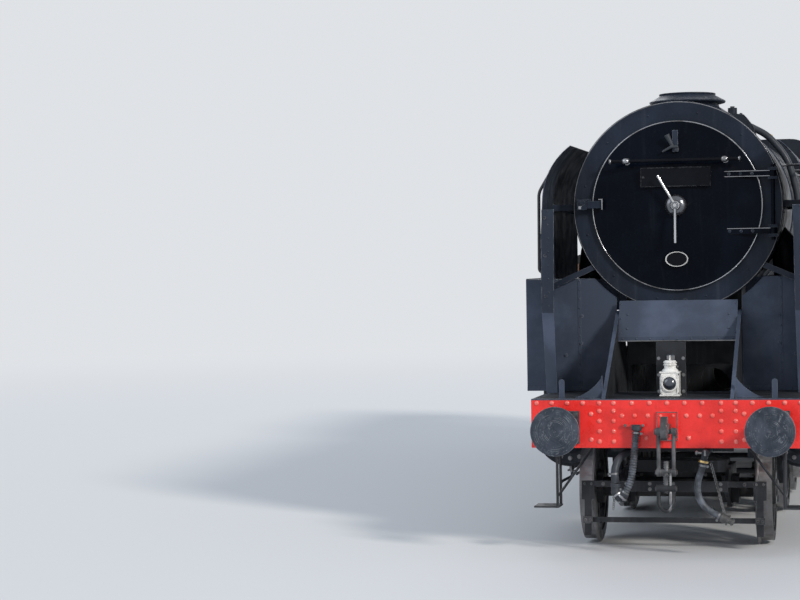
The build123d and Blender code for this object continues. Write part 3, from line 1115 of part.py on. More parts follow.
def cab_glazing():
    """Panes in the side and front windows, each in the middle of its sheet's opening."""
    gap = SEAT
    slope = (CAB_EAVES_HALF - WIDTH / 2) / (CAB_EAVES_Z - CAB_WAIST_Z)
    panes = []
    for y0, y1 in CAB_WINDOWS:
        def x_at(z):
            return WIDTH / 2 + slope * (z - CAB_WAIST_Z) - 1.0
        z0, z1 = CAB_WINDOW_LOW + gap, CAB_WINDOW_TOP - gap
        outline = [(x_at(z0), z0), (x_at(z1), z1), (x_at(z1) - 4, z1), (x_at(z0) - 4, z0)]
        panes += both_sides(plate_cross(outline, CAB_FRONT_Y + y0 + gap, CAB_FRONT_Y + y1 - gap))
    panes += both_sides(plate_cross(front_window(gap), CAB_FRONT_Y + 1, CAB_FRONT_Y + 5))
    node("cab_glazing", panes)


def cab_inside():
    y, z = BACKHEAD_Y, BOILER_Z
    door = joined(block(-230, 230, y, y + 14, z - 771, z - 401),
                  block(-190, -6, y + 14, y + 40, z - 741, z - 431),
                  block(6, 190, y + 14, y + 40, z - 741, z - 431))
    regulator = joined(rod_y(40, y, y + 120, 0, z + 329),
                       rod((0, y + 95, z + 329), (380, y + 95, z + 139), 16))
    gauges = []
    for x in (-420, 420):
        gauges.append(joined(rod_y(24, y, y + 60, x, z - 71), rod_z(22, z - 321, z + 159, x, y + 72)))
    fountain = block(-520, 520, y, y + 90, z + 559, z + 679)
    floor = CAB_FLOOR_Z
    side = WIDTH / 2
    wheel_y, wheel_z = CAB_FRONT_Y + 890, floor + 760
    desk = joined(block(side - 491, side - 191, wheel_y - 140, wheel_y + 140, floor, floor + 900),
                  rod_x(170, side - 531, side - 501, wheel_y, wheel_z),
                  rod_x(22, side - 511, side - 481, wheel_y, wheel_z))
    y = CAB_REAR_Y - 150
    seat = joined(block(side - 471, side - 71, y - 400, y, floor + 560, floor + 640),
                  block(side - 441, side - 101, y - 360, y - 40, floor, floor + 562))
    node("cab_seats", both_sides(seat))
    node("cab_controls", door, regulator, gauges, fountain, desk)


# Pony truck, guards, steps and details near the rail

def pony_truck():
    """Inside-framed truck with arms back to its pivot, and guard irons ahead of its wheels."""
    half = 118.0
    front_y = TRUCK_FRONT_Y
    side = [(front_y, 560), (front_y, 470), (1300, 330), (1720, 330), (2000, 470), (2000, 640), (1720, 640),
            (1650, 600)]
    side += [(1370, 600), (1300, 640), (1160, 640)]
    x0, x1 = 430, 462
    box_top = PONY_Z + 110
    plate = plate_side(side, x0, x1)
    plate -= block(0, 900, PONY_Y - half, PONY_Y + half, 0, box_top)
    keep = block(x0 - 8, x1 + 8, PONY_Y - 170, PONY_Y + 170, 302, 330)
    arm = plate_flat([(x1, 1990), (x0 - 40, 1990), (35, PIVOT_Y - 60), (95, PIVOT_Y - 20)], 560, 620)
    front = block(-x1, x1, front_y, front_y + 35, 470, 560)
    rear = block(-x1, x1, 1950, 1990, 470, 640)
    eye = rod_z(120, 540, 640, 0, PIVOT_Y)
    bolster = block(-x0, x0, PONY_Y - 150, PONY_Y + 150, 620, 700)
    bolster_ends = block(-x1, x1, PONY_Y - 150, PONY_Y + 150, 600, 660)
    body = joined(plate, other_side(plate), keep, other_side(keep), arm, other_side(arm), front, rear, eye,
                  bolster, bolster_ends)
    body -= rod_z(PIVOT_R + PIVOT_PLAY, 0, 900, 0, PIVOT_Y)
    box = block(x0 - 55, x1 + 60, PONY_Y - half + SEAT, PONY_Y + half - SEAT, 335, box_top - SEAT)
    # the box has a slot on each side that slides on the plate
    box -= block(x0 - SEAT, x1 + SEAT, PONY_Y - 400, PONY_Y - half + 12, 300, box_top)
    box -= block(x0 - SEAT, x1 + SEAT, PONY_Y + half - 12, PONY_Y + 400, 300, box_top)
    box -= rod_x(PONY_AXLE_R + BOX_PLAY, 0, 900, PONY_Y, PONY_Z)
    node("pony_truck_frame", body, both_sides(box))
    y = front_y
    iron = [(y + 35, 560), (y, 560), (y - 18, 450), (y - 25, 250), (y - 25, 95), (y - 5, 95), (y - 5, 250),
            (y + 8, 440), (y + 35, 520)]
    upper = plate_side(iron, 675, 785) - plate_cross([(600, 0), (900, 0), (900, 420), (760, 400), (700, 400),
                                                      (600, 420)], 800, 1200)
    lower = plate_side(iron, 700, 760)
    hanger = block(x1, 785, y, y + 35, 510, 560)
    tie = block(-700, 700, y - 5, y + 7, 205, 250)
    node("guard_irons", joined(upper, lower, hanger, other_side(upper), other_side(lower), other_side(hanger),
                               tie))


def front_steps():
    """A tread hung on two rods under the platform, with a slanting stay to the frame, on each side."""
    x, y, z_top = 950.0, 750.0, PLATFORM_Z - PLATFORM_THICK
    hangers = [rod_z(12, 368, z_top, x, y + d) for d in (-95, 95)]
    tread = block(x - 14, x + 200, y - 115, y + 115, 360, 374)
    tie = rod_y(11, y - 95, y + 95, x, 460)
    stay = rod((x, y, 460), (FRAME_OUTER_X, y, 1010), 11) - block(0, FRAME_OUTER_X + SEAT, y - 100, y + 100,
                                                                  0, z_top)
    one = joined(hangers, tread, tie, stay)
    return both_sides(one)


def cab_steps():
    x, y0, y1 = WIDTH / 2 - 191, CAB_REAR_Y - 900, CAB_REAR_Y - 400
    low, top = 520.0, CAB_FLOOR_Z - CAB_FLOOR_THICK
    back = block(x, x + SKIN, y0, y1, low, top)
    treads = [block(x + SKIN, x + 170, y0 + 20, y1 - 20, low + d, low + d + 10) for d in (0, 340, 680, 1020)]
    sides = [block(x, x + 60, y, y + SKIN, low, top) for y in (y0, y1 - SKIN)]
    return both_sides(joined(back, treads, sides))


def steps():
    node("steps", front_steps(), cab_steps())


def brake_gear():
    """One block and hanger ahead of each coupled wheel, with a cross beam for each pair."""
    pieces = []
    for y in COUPLED_YS:
        r0 = COUPLED_D / 2 + 10
        ring = rod_x(r0 + 82, WHEEL_INNER_X + 42, WHEEL_OUTER_X - 12, y, AXLE_Z) - rod_x(r0, 0, 2000, y,
                                                                                         AXLE_Z)
        wedge = plate_side([(y, AXLE_Z), (y - 1200, AXLE_Z - 300), (y - 1200, AXLE_Z - 760)], 0, 2000)
        shoe = ring & wedge
        x0, x1 = WHEEL_INNER_X + 40, WHEEL_INNER_X + 78
        foot = (y - 800, AXLE_Z - 330)
        head = (y - COUPLED_PITCH / 2, 1075)
        hanger = bar_between(foot, head, 26, x0, x1)
        beam = rod_x(26, -x1, x1, *foot)
        carrier = block(FRAME_OUTER_X, x1, head[0] - 20, head[0] + 20, head[1] - 20, head[1] + 20)
        pieces.append(joined(shoe, other_side(shoe), hanger, other_side(hanger), beam, carrier,
                             other_side(carrier)))
    node("brake_gear", pieces)


def lubricator(y):
    """An oil box on the running board, with its lid, its driving shaft and its arm."""
    x, z = BOARD_HALF - 286, BOARD_Z
    box = block(x + 10, x + 190, y + 10, y + 250, z + 16, z + 190)
    lid = plate_cross([(x, z + 190), (x + 200, z + 190), (x + 200, z + 204), (x + 150, z + 224),
                       (x + 50, z + 224), (x, z + 204)], y, y + 260)
    feet = [block(x + 10, x + 190, y + d, y + d + 36, z, z + 17) for d in (20, 204)]
    shaft = rod_x(13, x + 180, x + 216, y + 130, z + 110)
    arm = bar_between((y + 130, z + 110), (y + 60, z + 40), 16, x + 206, x + 216)
    return joined(box, lid, feet, shaft, arm)


def pipes():
    node("lubricators", [both_sides(lubricator(y)) for y in (4250, 4700)])
    y, z = 2700.0, BOILER_Z
    upper = tube_of([(700, y, z - 161), (880, y, z - 361), (930, y, z - 921)], [160], 122)
    upper -= rod_y(SMOKEBOX_R + SEAT, SMOKEBOX_FRONT_Y, SMOKEBOX_REAR_Y, 0, z)
    top = upper - block(0, 2000, 2000, 4000, 0, BOARD_Z)
    pipe = rod_z(105, 1300, BOARD_Z - SKIN - SEAT, 960, y)
    pipe -= on_axis(rod_y(VALVE_CLAD_R + SEAT, -6000, -3000, VALVE_X, VALVE_RISE))
    pipe -= on_axis(block(0, CYL_X + SEAT, -6000, -3000, -900, VALVE_RISE + 120 + SEAT))
    pipe = max(pipe.solids(), key=lambda s: s.volume)
    node("steam_pipes", both_sides(max(top.solids(), key=lambda s: s.volume)), both_sides(pipe))


def handrails(front_rail):
    """Rails along the boiler on short pillars."""
    x, z = 905.0, BOILER_Z + 440
    rail = rod_y(16, 4100, CAB_FRONT_Y - SEAT, x + 135, z)
    posts = []
    for y in (4200, 5650, 7100, 8400):
        posts.append(rod_x(12, 780, x + 135, y, z))
    along_boiler = both_sides(joined(rail, posts) - barrel_cut())
    node("handrails", along_boiler, both_sides(front_rail), both_sides(cab_rail()), reversing_shaft())


def reversing_shaft():
    """The shaft from the reversing wheel forward to its screw box, in bearings on the left running board."""
    x, z = FIREBOX_HALF + 95, BOARD_Z + 110
    y0, y1 = LINK_Y + 250, CAB_FRONT_Y - SEAT
    box = block(x - 55, x + 55, y0 - 260, y0, BOARD_Z, z + 60)
    bearings = [block(x - 22, x + 22, y, y + 36, BOARD_Z, z + 30) for y in (6400, 7900, 9400)]
    return joined(rod_y(16, y0 - 10, y1, x, z), box, bearings)


def cab_rail():
    """A grab rail beside the cab's rear opening, from its floor to the side sheet's edge."""
    r = 15.0
    x, y = WIDTH / 2 - SKIN - 22, CAB_REAR_Y + 100
    z0, z1 = CAB_FLOOR_Z + SEAT, CAB_WAIST_Z - 80
    rail = tube_of([(x, y, z0), (x, y, z1), (x, CAB_REAR_Y + SEAT, z1)], [60], r)
    plate = block(x - r, WIDTH / 2, CAB_REAR_Y + SEAT, CAB_REAR_Y + 8, z1 - 40, z1 + 40)
    return joined(rail, plate, rod_z(26, z0, z0 + 12, x - 4, y))


def injectors():
    x, y, low = WIDTH / 2 - 291.5, CAB_REAR_Y - 850, 1350.0
    hanger = block(x - 20, x + 20, y - 20, y + 20, low + 340, CAB_FLOOR_Z - CAB_FLOOR_THICK)
    body = joined(rod_y(75, y - 250, y + 250, x, low + 150), rod_z(60, low, low + 290, x, y))
    body = joined(body, block(x - 80, x + 80, y - 100, y + 100, low + 280, low + 350), hanger)
    node("injectors", both_sides(body))


# Hoses and their fittings at the front


def hoses():
    for name, route, r in (("vacuum_hose", VACUUM_ROUTE, VACUUM_HOSE_R),
                           ("steam_heat_hose", STEAM_ROUTE, STEAM_HOSE_R)):
        wire, radii = tube_path(route)
        body = tube(route, r)
        print(name, "length", round(wire.length, 1), "radii", [round(v) for v in radii], "volume ratio",
              round(body.volume / (pi * r * r * wire.length), 4))
        node(name, body)
    node("front_pipes", vacuum_pipe(), steam_heat_valve())
    node("steam_heat_coupler", steam_heat_coupler())


def run_on(a, b, distance):
    """The point that lies past b, on the line from a to b, at a distance from b."""
    a, b = Vector(*a), Vector(*b)
    return tuple(b + (b - a).normalized() * distance)


def vacuum_pipe():
    """The pipe under the beam, the two coupling heads and the dummy that holds the hose's end."""
    r = VACUUM_HOSE_R
    start = VACUUM_ROUTE[0]
    neck = run_on(VACUUM_ROUTE[1], start, 28)
    low, side, top = (-392, 425, 468), (-432, 425, 520), (-427, 425, 590)
    heads = [rod(start, neck, r + 8), rod(neck, low, r), Pos(*low) * Sphere(r + 4), rod(low, side, r + 4)]
    heads += [Pos(*side) * Sphere(r + 4), rod(side, top, r + 2), rod((-428, 425, 566), top, r + 9)]
    wall = FRONT_STRETCHER_Y - STRETCHER_THICK / 2 - SEAT
    swan = tube([top, (-440, 440, 690), (-415, 480, 780), (-370, 580, 826), (-330, 740, 840),
                 (-330, wall, 840)], r)
    dummy_end = run_on(VACUUM_ROUTE[-2], VACUUM_ROUTE[-1], 34)
    dummy = rod(VACUUM_ROUTE[-1], dummy_end, r + 10)
    tab = block(-365, -180, 470, BEAM_FACE_Y, 1062, 1082)
    ear = block(-290, -215, 425, BEAM_FACE_Y, 1050, 1082)
    return joined(heads, swan), joined(dummy, tab, ear)


def steam_heat_valve():
    r = STEAM_HOSE_R
    top = STEAM_ROUTE[0]
    collar = run_on(STEAM_ROUTE[1], top, 28)
    body = run_on(STEAM_ROUTE[1], top, 82)
    wall = FRONT_STRETCHER_Y - STRETCHER_THICK / 2 - SEAT
    ear = block(body[0] + 20, body[0] + 62, 430, 450, 770, 780)
    return joined(rod(top, collar, r + 9), rod(collar, body, r), Pos(*body) * Sphere(34),
                  rod_y(28, 440, wall, body[0], body[2]), ear)


def steam_heat_coupler():
    """The hose's coupling and the chain that holds it up to the valve."""
    tip = STEAM_ROUTE[-1]
    neck, end = run_on(STEAM_ROUTE[-2], tip, 60), run_on(STEAM_ROUTE[-2], tip, 115)
    chain = rod((472, 440, 322), (360, 440, 767), 5)
    return joined(rod(tip, neck, STEAM_HOSE_R + 10), rod(neck, end, 24), chain)


def save():
    os.makedirs("parts", exist_ok=True)
    to_rest = Location((0, -LENGTH / 2, FLANGE))
    for name, shape in NODES.items():
        export_step(shape.moved(to_rest), f"parts/{name}.step")


frames()
axleboxes_and_springs()
saddle()
buffer_beam()
buffers()
draw_hook()
screw_coupling()
front_platform()
front_casing()
head_lamp()
deflector_rail = deflectors()
smokebox()
smokebox_door()
door_fittings()
chimney()
boiler()
firebox()
ashpan()
boiler_mountings()
cylinders()
motion()
motion_brackets()
running_boards()
cab()
cab_glazing()
cab_inside()
pony_truck()
pony_wheelset()
coupled_wheelsets()
side_rods()
steps()
brake_gear()
pipes()
handrails(deflector_rail)
injectors()
hoses()
save()
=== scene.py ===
import json
from math import atan2, cos, hypot, pi, radians, sin, sqrt

import bmesh
import bpy
from mathutils import Matrix, Vector


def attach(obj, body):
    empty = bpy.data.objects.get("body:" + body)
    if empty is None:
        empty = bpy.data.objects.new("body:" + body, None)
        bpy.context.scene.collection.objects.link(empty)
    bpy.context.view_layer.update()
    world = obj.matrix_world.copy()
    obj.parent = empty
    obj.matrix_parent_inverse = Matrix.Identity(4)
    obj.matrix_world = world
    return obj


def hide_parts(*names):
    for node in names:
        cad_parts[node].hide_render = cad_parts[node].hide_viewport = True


# Looks of a heavy goods steam locomotive. Sizes are in millimetres in the engine's own frame, as on its
# drawings: X across it and positive on its left side, Y back from the buffer faces, Z up from the rail.

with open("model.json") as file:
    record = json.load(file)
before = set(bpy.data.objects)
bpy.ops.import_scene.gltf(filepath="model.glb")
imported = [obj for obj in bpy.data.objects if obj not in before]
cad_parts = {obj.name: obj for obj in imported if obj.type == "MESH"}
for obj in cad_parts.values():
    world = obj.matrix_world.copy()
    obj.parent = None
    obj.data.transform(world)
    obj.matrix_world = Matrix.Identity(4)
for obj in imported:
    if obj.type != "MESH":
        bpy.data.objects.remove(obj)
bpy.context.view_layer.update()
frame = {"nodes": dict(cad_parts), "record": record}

LENGTH = 12500.0
HEIGHT = 3988.0
FLANGE = 28.6
WIDTH = 2743.0
BEAM_FACE_Y = 508.0
PLATFORM_Z = 1290.0
BOILER_Z = 2921.0
SMOKEBOX_FRONT_Y = 1650.0
CHIMNEY_Y = 2800.0
BUFFER_X = 870.0
BUFFER_Z = 1054.0
VACUUM_HOSE_R = 32.0
STEAM_HOSE_R = 28.0
# x, y and z of the points that each hose follows
VACUUM_ROUTE = [(-352, 425, 512), (-312, 425, 575), (-292, 425, 655), (-279, 425, 745), (-268, 428, 850),
                (-257, 436, 955), (-250, 446, 1030)]
STEAM_ROUTE = [(300, 440, 762), (288, 440, 706), (262, 440, 650), (246, 440, 565), (256, 440, 478),
               (300, 440, 405), (368, 440, 352), (440, 440, 318)]

# The photograph's view: where the camera stands, in metres of the engine's frame, and how it points
CAMERA_AT = (1.836, -17.806, 2.44)
CAMERA_YAW, CAMERA_DIP, CAMERA_ROLL = 0.22, 0.016, -0.016
CAMERA_LENS = 99.0

BACKDROP = (0.74, 0.76, 0.79, 1)

TO_FRAME = Matrix.Translation((0, -LENGTH / 2000, FLANGE / 1000)) @ Matrix.Scale(0.001, 4)
TO_ENGINE = TO_FRAME.inverted()

# Directions of the engine
FORWARD = (0, -1, 0)
BACKWARD = (0, 1, 0)
LEFTWARD = (1, 0, 0)
UPWARD = (0, 0, 1)


def at(x, y, z):
    """A point of the engine as a place in the frame, in metres."""
    return TO_FRAME @ Vector((x, y, z))


# Camera, floor and lights

def set_camera():
    x, y, z = CAMERA_AT
    data = bpy.data.cameras.new("camera")
    data.lens = CAMERA_LENS
    data.clip_end = 200
    camera = bpy.data.objects.new("camera", data)
    bpy.context.collection.objects.link(camera)
    turn = Matrix.Rotation(CAMERA_YAW, 4, "Z") @ Matrix.Rotation(pi / 2 - CAMERA_DIP, 4, "X")
    turn = turn @ Matrix.Rotation(CAMERA_ROLL, 4, "Z")
    camera.matrix_world = Matrix.Translation((x, y - LENGTH / 2000, z + FLANGE / 1000)) @ turn
    bpy.context.scene.camera = camera
    bpy.context.scene.view_settings.view_transform = "Standard"


def backdrop_rays(tree):
    """1 where the camera, a reflection or glass sees the backdrop, and 0 for the light that it sheds."""
    ray = tree.nodes.new("ShaderNodeLightPath")
    seen = ray.outputs["Is Camera Ray"]
    for kind in ("Is Glossy Ray", "Is Transmission Ray"):
        both = tree.nodes.new("ShaderNodeMath")
        both.operation = "MAXIMUM"
        tree.links.new(seen, both.inputs[0])
        tree.links.new(ray.outputs[kind], both.inputs[1])
        seen = both.outputs[0]
    return seen


def lay_floor():
    """A pale floor that turns into the backdrop far off, so that no horizon shows."""
    sheet = bmesh.new()
    bmesh.ops.create_circle(sheet, cap_ends=True, segments=64, radius=150.0)
    mesh = bpy.data.meshes.new("floor")
    sheet.to_mesh(mesh)
    sheet.free()
    floor = bpy.data.objects.new("floor", mesh)
    bpy.context.collection.objects.link(floor)
    paper = Finish("studio_paper", roughness=0.95, Specular_IOR_Level=0.0)
    paper.set("Base Color", (0.70, 0.71, 0.72, 1))
    away = paper.node("ShaderNodeVectorMath", {0: paper.place}, operation="LENGTH").outputs["Value"]
    share = paper.times(paper.graded(away, 13.0, 40.0), backdrop_rays(paper.tree))
    glow = paper.node("ShaderNodeEmission", {"Color": BACKDROP})
    blend = paper.node("ShaderNodeMixShader", {"Fac": share, 1: paper.shader.outputs[0], 2: glow.outputs[0]})
    paper.tree.links.new(blend.outputs[0], paper.tree.nodes["Material Output"].inputs["Surface"])
    mesh.materials.append(paper.material)


def set_sky():
    """An even sky that lights the engine, and the backdrop that the camera sees in its place."""
    world = bpy.data.worlds.new("studio")
    bpy.context.scene.world = world
    world.use_nodes = True
    nodes, links = world.node_tree.nodes, world.node_tree.links
    sky = nodes["Background"]
    sky.inputs["Color"].default_value = (0.80, 0.88, 1.0, 1)
    sky.inputs["Strength"].default_value = 0.50
    backdrop = nodes.new("ShaderNodeBackground")
    backdrop.inputs["Color"].default_value = BACKDROP
    pick = nodes.new("ShaderNodeMixShader")
    links.new(backdrop_rays(world.node_tree), pick.inputs["Fac"])
    links.new(sky.outputs[0], pick.inputs[1])
    links.new(backdrop.outputs[0], pick.inputs[2])
    links.new(pick.outputs[0], nodes["World Output"].inputs["Surface"])


def set_lamps():
    """A soft lamp low on the engine's front left, as in the photograph, and two weak ones for shadows."""
    # name, direction to the lamp, strength, softness in degrees, colour
    lamps = [("low_sun", (0.58, -0.51, 0.36), 2.2, 9.0, (1.0, 0.95, 0.88)),
             ("fill", (-0.75, -0.55, 0.55), 0.7, 40.0, (0.85, 0.92, 1.0)),
             ("rear_fill", (-0.2, 0.8, 0.6), 0.9, 40.0, (0.95, 0.97, 1.0))]
    for name, direction, strength, softness, colour in lamps:
        data = bpy.data.lights.new(name, "SUN")
        data.energy = strength
        data.angle = radians(softness)
        data.color = colour
        lamp = bpy.data.objects.new(name, data)
        bpy.context.collection.objects.link(lamp)
        lamp.matrix_world = Vector(direction).to_track_quat("Z", "Y").to_matrix().to_4x4()


# Finishes

class Finish:
    """A material on one Principled shader, whose patterns read Object coordinates in metres."""

    def __init__(self, name, roughness=0.5, metallic=0.0, **sockets):
        self.material = bpy.data.materials.new(name)
        self.material.use_nodes = True
        self.tree = self.material.node_tree
        self.shader = self.tree.nodes["Principled BSDF"]
        self.set("Roughness", roughness)
        self.set("Metallic", metallic)
        for socket, value in sockets.items():
            self.set(socket.replace("_", " "), value)
        self.place = self.node("ShaderNodeTexCoord").outputs["Object"]

    def set(self, socket, value):
        """Puts a plain value or another node's output on a socket of the shader."""
        if isinstance(value, bpy.types.NodeSocket):
            self.tree.links.new(value, self.shader.inputs[socket])
        else:
            self.shader.inputs[socket].default_value = value

    def node(self, kind, inputs=None, **settings):
        """A new node with its settings, and plain values or other nodes' outputs on its inputs."""
        made = self.tree.nodes.new(kind)
        for key, value in settings.items():
            setattr(made, key, value)
        for key, value in (inputs or {}).items():
            if isinstance(value, bpy.types.NodeSocket):
                self.tree.links.new(value, made.inputs[key])
            else:
                made.inputs[key].default_value = value
        return made

    def noise(self, scale, stretch=(1, 1, 1), detail=5.0, roughness=0.55, distortion=0.0):
        """A cloudy pattern; a stretch under 1 draws it out along that axis."""
        mapped = self.node("ShaderNodeMapping", {"Vector": self.place, "Scale": stretch})
        made = self.node("ShaderNodeTexNoise", {"Vector": mapped.outputs[0], "Scale": scale, "Detail": detail,
                                                "Roughness": roughness, "Distortion": distortion})
        return made.outputs["Fac"]

    def graded(self, value, low, high, to_low=0.0, to_high=1.0):
        """The value's run from low to high, spread smoothly from to_low to to_high."""
        made = self.node("ShaderNodeMapRange", {"Value": value, "From Min": low, "From Max": high,
                                                "To Min": to_low, "To Max": to_high},
                         interpolation_type="SMOOTHSTEP")
        return made.outputs["Result"]

    def times(self, a, b):
        return self.node("ShaderNodeMath", {0: a, 1: b}, operation="MULTIPLY").outputs[0]

    def mixed(self, share, a, b):
        """Colour a, turning to colour b by share."""
        made = self.node("ShaderNodeMix", {"Factor": share, 6: a, 7: b}, data_type="RGBA")
        return made.outputs[2]

    def distance_from(self, x, z):
        """Distance in metres, as seen from the front, from the engine's point (x, z) or from its twin."""
        spot = self.node("ShaderNodeSeparateXYZ", {0: self.place})
        across = self.node("ShaderNodeMath", {0: spot.outputs["X"]}, operation="ABSOLUTE").outputs[0]
        beside = self.node("ShaderNodeMath", {0: across, 1: x / 1000}, operation="SUBTRACT").outputs[0]
        height = (z + FLANGE) / 1000
        rise = {0: spot.outputs["Z"], 1: height}
        above = self.node("ShaderNodeMath", rise, operation="SUBTRACT").outputs[0]
        reach = self.node("ShaderNodeCombineXYZ", {"X": beside, "Z": above}).outputs[0]
        return self.node("ShaderNodeVectorMath", {0: reach}, operation="LENGTH").outputs["Value"]

    def worn_edges(self, radius, low=0.985, high=0.9):
        """1 along sharp edges and 0 on open faces."""
        bevel = self.node("ShaderNodeBevel", {"Radius": radius}, samples=3)
        normal = self.node("ShaderNodeNewGeometry").outputs["Normal"]
        dot = self.node("ShaderNodeVectorMath", {0: bevel.outputs[0], 1: normal}, operation="DOT_PRODUCT")
        return self.graded(dot.outputs["Value"], low, high)

    def bump(self, height, distance, strength=1.0):
        made = self.node("ShaderNodeBump", {"Height": height, "Distance": distance, "Strength": strength})
        self.set("Normal", made.outputs[0])


def shade(colour, factor):
    """The colour made darker or lighter."""
    return tuple(min(1.0, c * factor) for c in colour[:3]) + (1.0,)


def painted(name, colour, gloss=0.35, dust=0.35, wear=0.3, streaks=0.5,
            dust_colour=(0.066, 0.078, 0.098, 1), shine=0.22):
    """Painted plate with soot and rain streaks, dust that settles in patches, and rubbed edges."""
    finish = Finish(name, Specular_IOR_Level=shine)
    colour = tuple(colour) + (1.0,)
    patches = finish.graded(finish.noise(1.7, detail=7, roughness=0.62), 0.42, 0.66)
    base = finish.mixed(patches, shade(colour, 0.78), shade(colour, 1.25))
    run = finish.graded(finish.noise(16.0, (1, 1, 0.05), detail=4, roughness=0.6), 0.52, 0.80)
    base = finish.mixed(finish.times(run, streaks), base, dust_colour)
    speck = finish.graded(finish.noise(60.0, detail=3, roughness=0.7), 0.56, 0.74)
    base = finish.mixed(finish.times(speck, dust), base, dust_colour)
    if wear:
        edge = finish.worn_edges(0.006)
        rubbed = finish.times(edge, finish.graded(finish.noise(14.0, detail=6, roughness=0.7), 0.40, 0.62))
        base = finish.mixed(finish.times(rubbed, wear), base, (0.30, 0.31, 0.33, 1))
    finish.set("Base Color", base)
    finish.set("Roughness", finish.graded(finish.noise(5.5, detail=8, roughness=0.66), 0.30, 0.72,
                                          gloss - 0.10, gloss + 0.22))
    finish.bump(finish.noise(3.2, detail=3), 0.004, 0.5)
    return finish.material


def red_paint(name="beam_red_paint", red=(0.88, 0.034, 0.028, 1), deep=(0.70, 0.024, 0.019, 1), coat=0.22):
    """Bright red paint, brushed on, with a little soot and with paler edges."""
    finish = Finish(name, Coat_Weight=coat, Specular_IOR_Level=0.35)
    finish.set("Coat Roughness", 0.12)
    base = finish.mixed(finish.graded(finish.noise(4.0, detail=6, roughness=0.6), 0.40, 0.68), red, deep)
    soot = finish.graded(finish.noise(11.0, (1, 1, 0.25), detail=6, roughness=0.65), 0.60, 0.80)
    base = finish.mixed(finish.times(soot, 0.5), base, (0.17, 0.02, 0.018, 1))
    edge = finish.worn_edges(0.004)
    base = finish.mixed(finish.times(edge, 0.30), base, (0.92, 0.26, 0.22, 1))
    finish.set("Base Color", base)
    finish.set("Roughness", finish.graded(finish.noise(18.0, detail=5), 0.35, 0.7, 0.22, 0.42))
    finish.bump(finish.noise(26.0, (1, 1, 0.2), detail=4), 0.0012, 0.5)
    return finish.material


def bare_steel(name, colour=(0.46, 0.46, 0.47, 1), roughness=0.30, grain=(1, 0.05, 1), grease=0.5):
    """Machined steel with a drawn grain, old oil and dull patches."""
    finish = Finish(name, metallic=0.9)
    oil = finish.graded(finish.noise(4.5, detail=7, roughness=0.65), 0.46, 0.66)
    base = finish.mixed(finish.times(oil, grease), colour, (0.07, 0.062, 0.052, 1))
    lines = finish.noise(180.0, grain, detail=3, roughness=0.6)
    base = finish.mixed(finish.graded(lines, 0.35, 0.65, 0.0, 0.22), base, shade(colour, 0.45))
    finish.set("Base Color", base)
    dull = finish.noise(8.0, detail=5)
    finish.set("Roughness", finish.graded(dull, 0.35, 0.7, roughness - 0.08, roughness + 0.22))
    finish.bump(lines, 0.0006, 0.5)
    return finish.material


def cast_iron(name, colour=(0.07, 0.068, 0.065, 1), roughness=0.55, rust=0.25, scale=1.0):
    """Rough black casting with oily bloom and a little rust."""
    finish = Finish(name, metallic=0.35)
    patches = finish.graded(finish.noise(6.0 * scale, detail=8, roughness=0.68), 0.40, 0.66)
    base = finish.mixed(patches, shade(colour, 0.6), shade(colour, 1.6))
    brown = finish.graded(finish.noise(15.0 * scale, detail=7, roughness=0.7), 0.58, 0.76)
    base = finish.mixed(finish.times(brown, rust), base, (0.13, 0.065, 0.035, 1))
    edge = finish.worn_edges(0.004)
    base = finish.mixed(finish.times(edge, 0.45), base, (0.36, 0.35, 0.34, 1))
    finish.set("Base Color", base)
    dull = finish.noise(22.0, detail=6)
    finish.set("Roughness", finish.graded(dull, 0.3, 0.7, roughness - 0.15, roughness + 0.15))
    finish.bump(finish.noise(140.0 * scale, detail=5, roughness=0.7), 0.0012, 0.6)
    return finish.material


def buffer_face():
    """Greased buffer head: slate-grey metal with fine scratches, paler where its neighbour rubs."""
    finish = Finish("greased_buffer_steel", metallic=0.35, Specular_IOR_Level=0.35)
    cloud = finish.graded(finish.noise(5.0, detail=9, roughness=0.7, distortion=0.5), 0.38, 0.68)
    base = finish.mixed(cloud, (0.026, 0.033, 0.046, 1), (0.060, 0.073, 0.098, 1))
    # scuffs where the neighbour's head rubs, and broken rings from its turning
    rubbed = finish.noise(34.0, (1, 1, 0.7), detail=7, roughness=0.72, distortion=1.2)
    scuff = finish.graded(rubbed, 0.55, 0.68)
    base = finish.mixed(finish.times(scuff, 0.55), base, (0.24, 0.26, 0.29, 1))
    radius = finish.distance_from(BUFFER_X, BUFFER_Z)
    rings = finish.node("ShaderNodeTexNoise", {"W": radius, "Scale": 170.0, "Detail": 3.0},
                        noise_dimensions="1D")
    broken = finish.graded(finish.noise(13.0, detail=5, roughness=0.65), 0.46, 0.62)
    scratch = finish.times(finish.graded(rings.outputs["Fac"], 0.54, 0.68), broken)
    base = finish.mixed(finish.times(scratch, 0.60), base, (0.26, 0.28, 0.30, 1))
    rim = finish.worn_edges(0.010)
    base = finish.mixed(finish.times(rim, 0.5), base, (0.26, 0.275, 0.29, 1))
    finish.set("Base Color", base)
    finish.set("Roughness", finish.graded(cloud, 0.0, 1.0, 0.36, 0.62))
    finish.bump(scratch, 0.0014, 0.5)
    return finish.material


def hose_rubber():
    """Black rubber, dusty in patches."""
    finish = Finish("hose_rubber", Specular_IOR_Level=0.4)
    dust = finish.graded(finish.noise(12.0, detail=8, roughness=0.65), 0.40, 0.68)
    base = finish.mixed(dust, (0.036, 0.041, 0.049, 1), (0.122, 0.138, 0.168, 1))
    finish.set("Base Color", base)
    finish.set("Roughness", finish.graded(finish.noise(30.0, detail=4), 0.3, 0.7, 0.42, 0.66))
    finish.bump(finish.noise(420.0, detail=3, roughness=0.7), 0.0004, 0.7)
    return finish.material


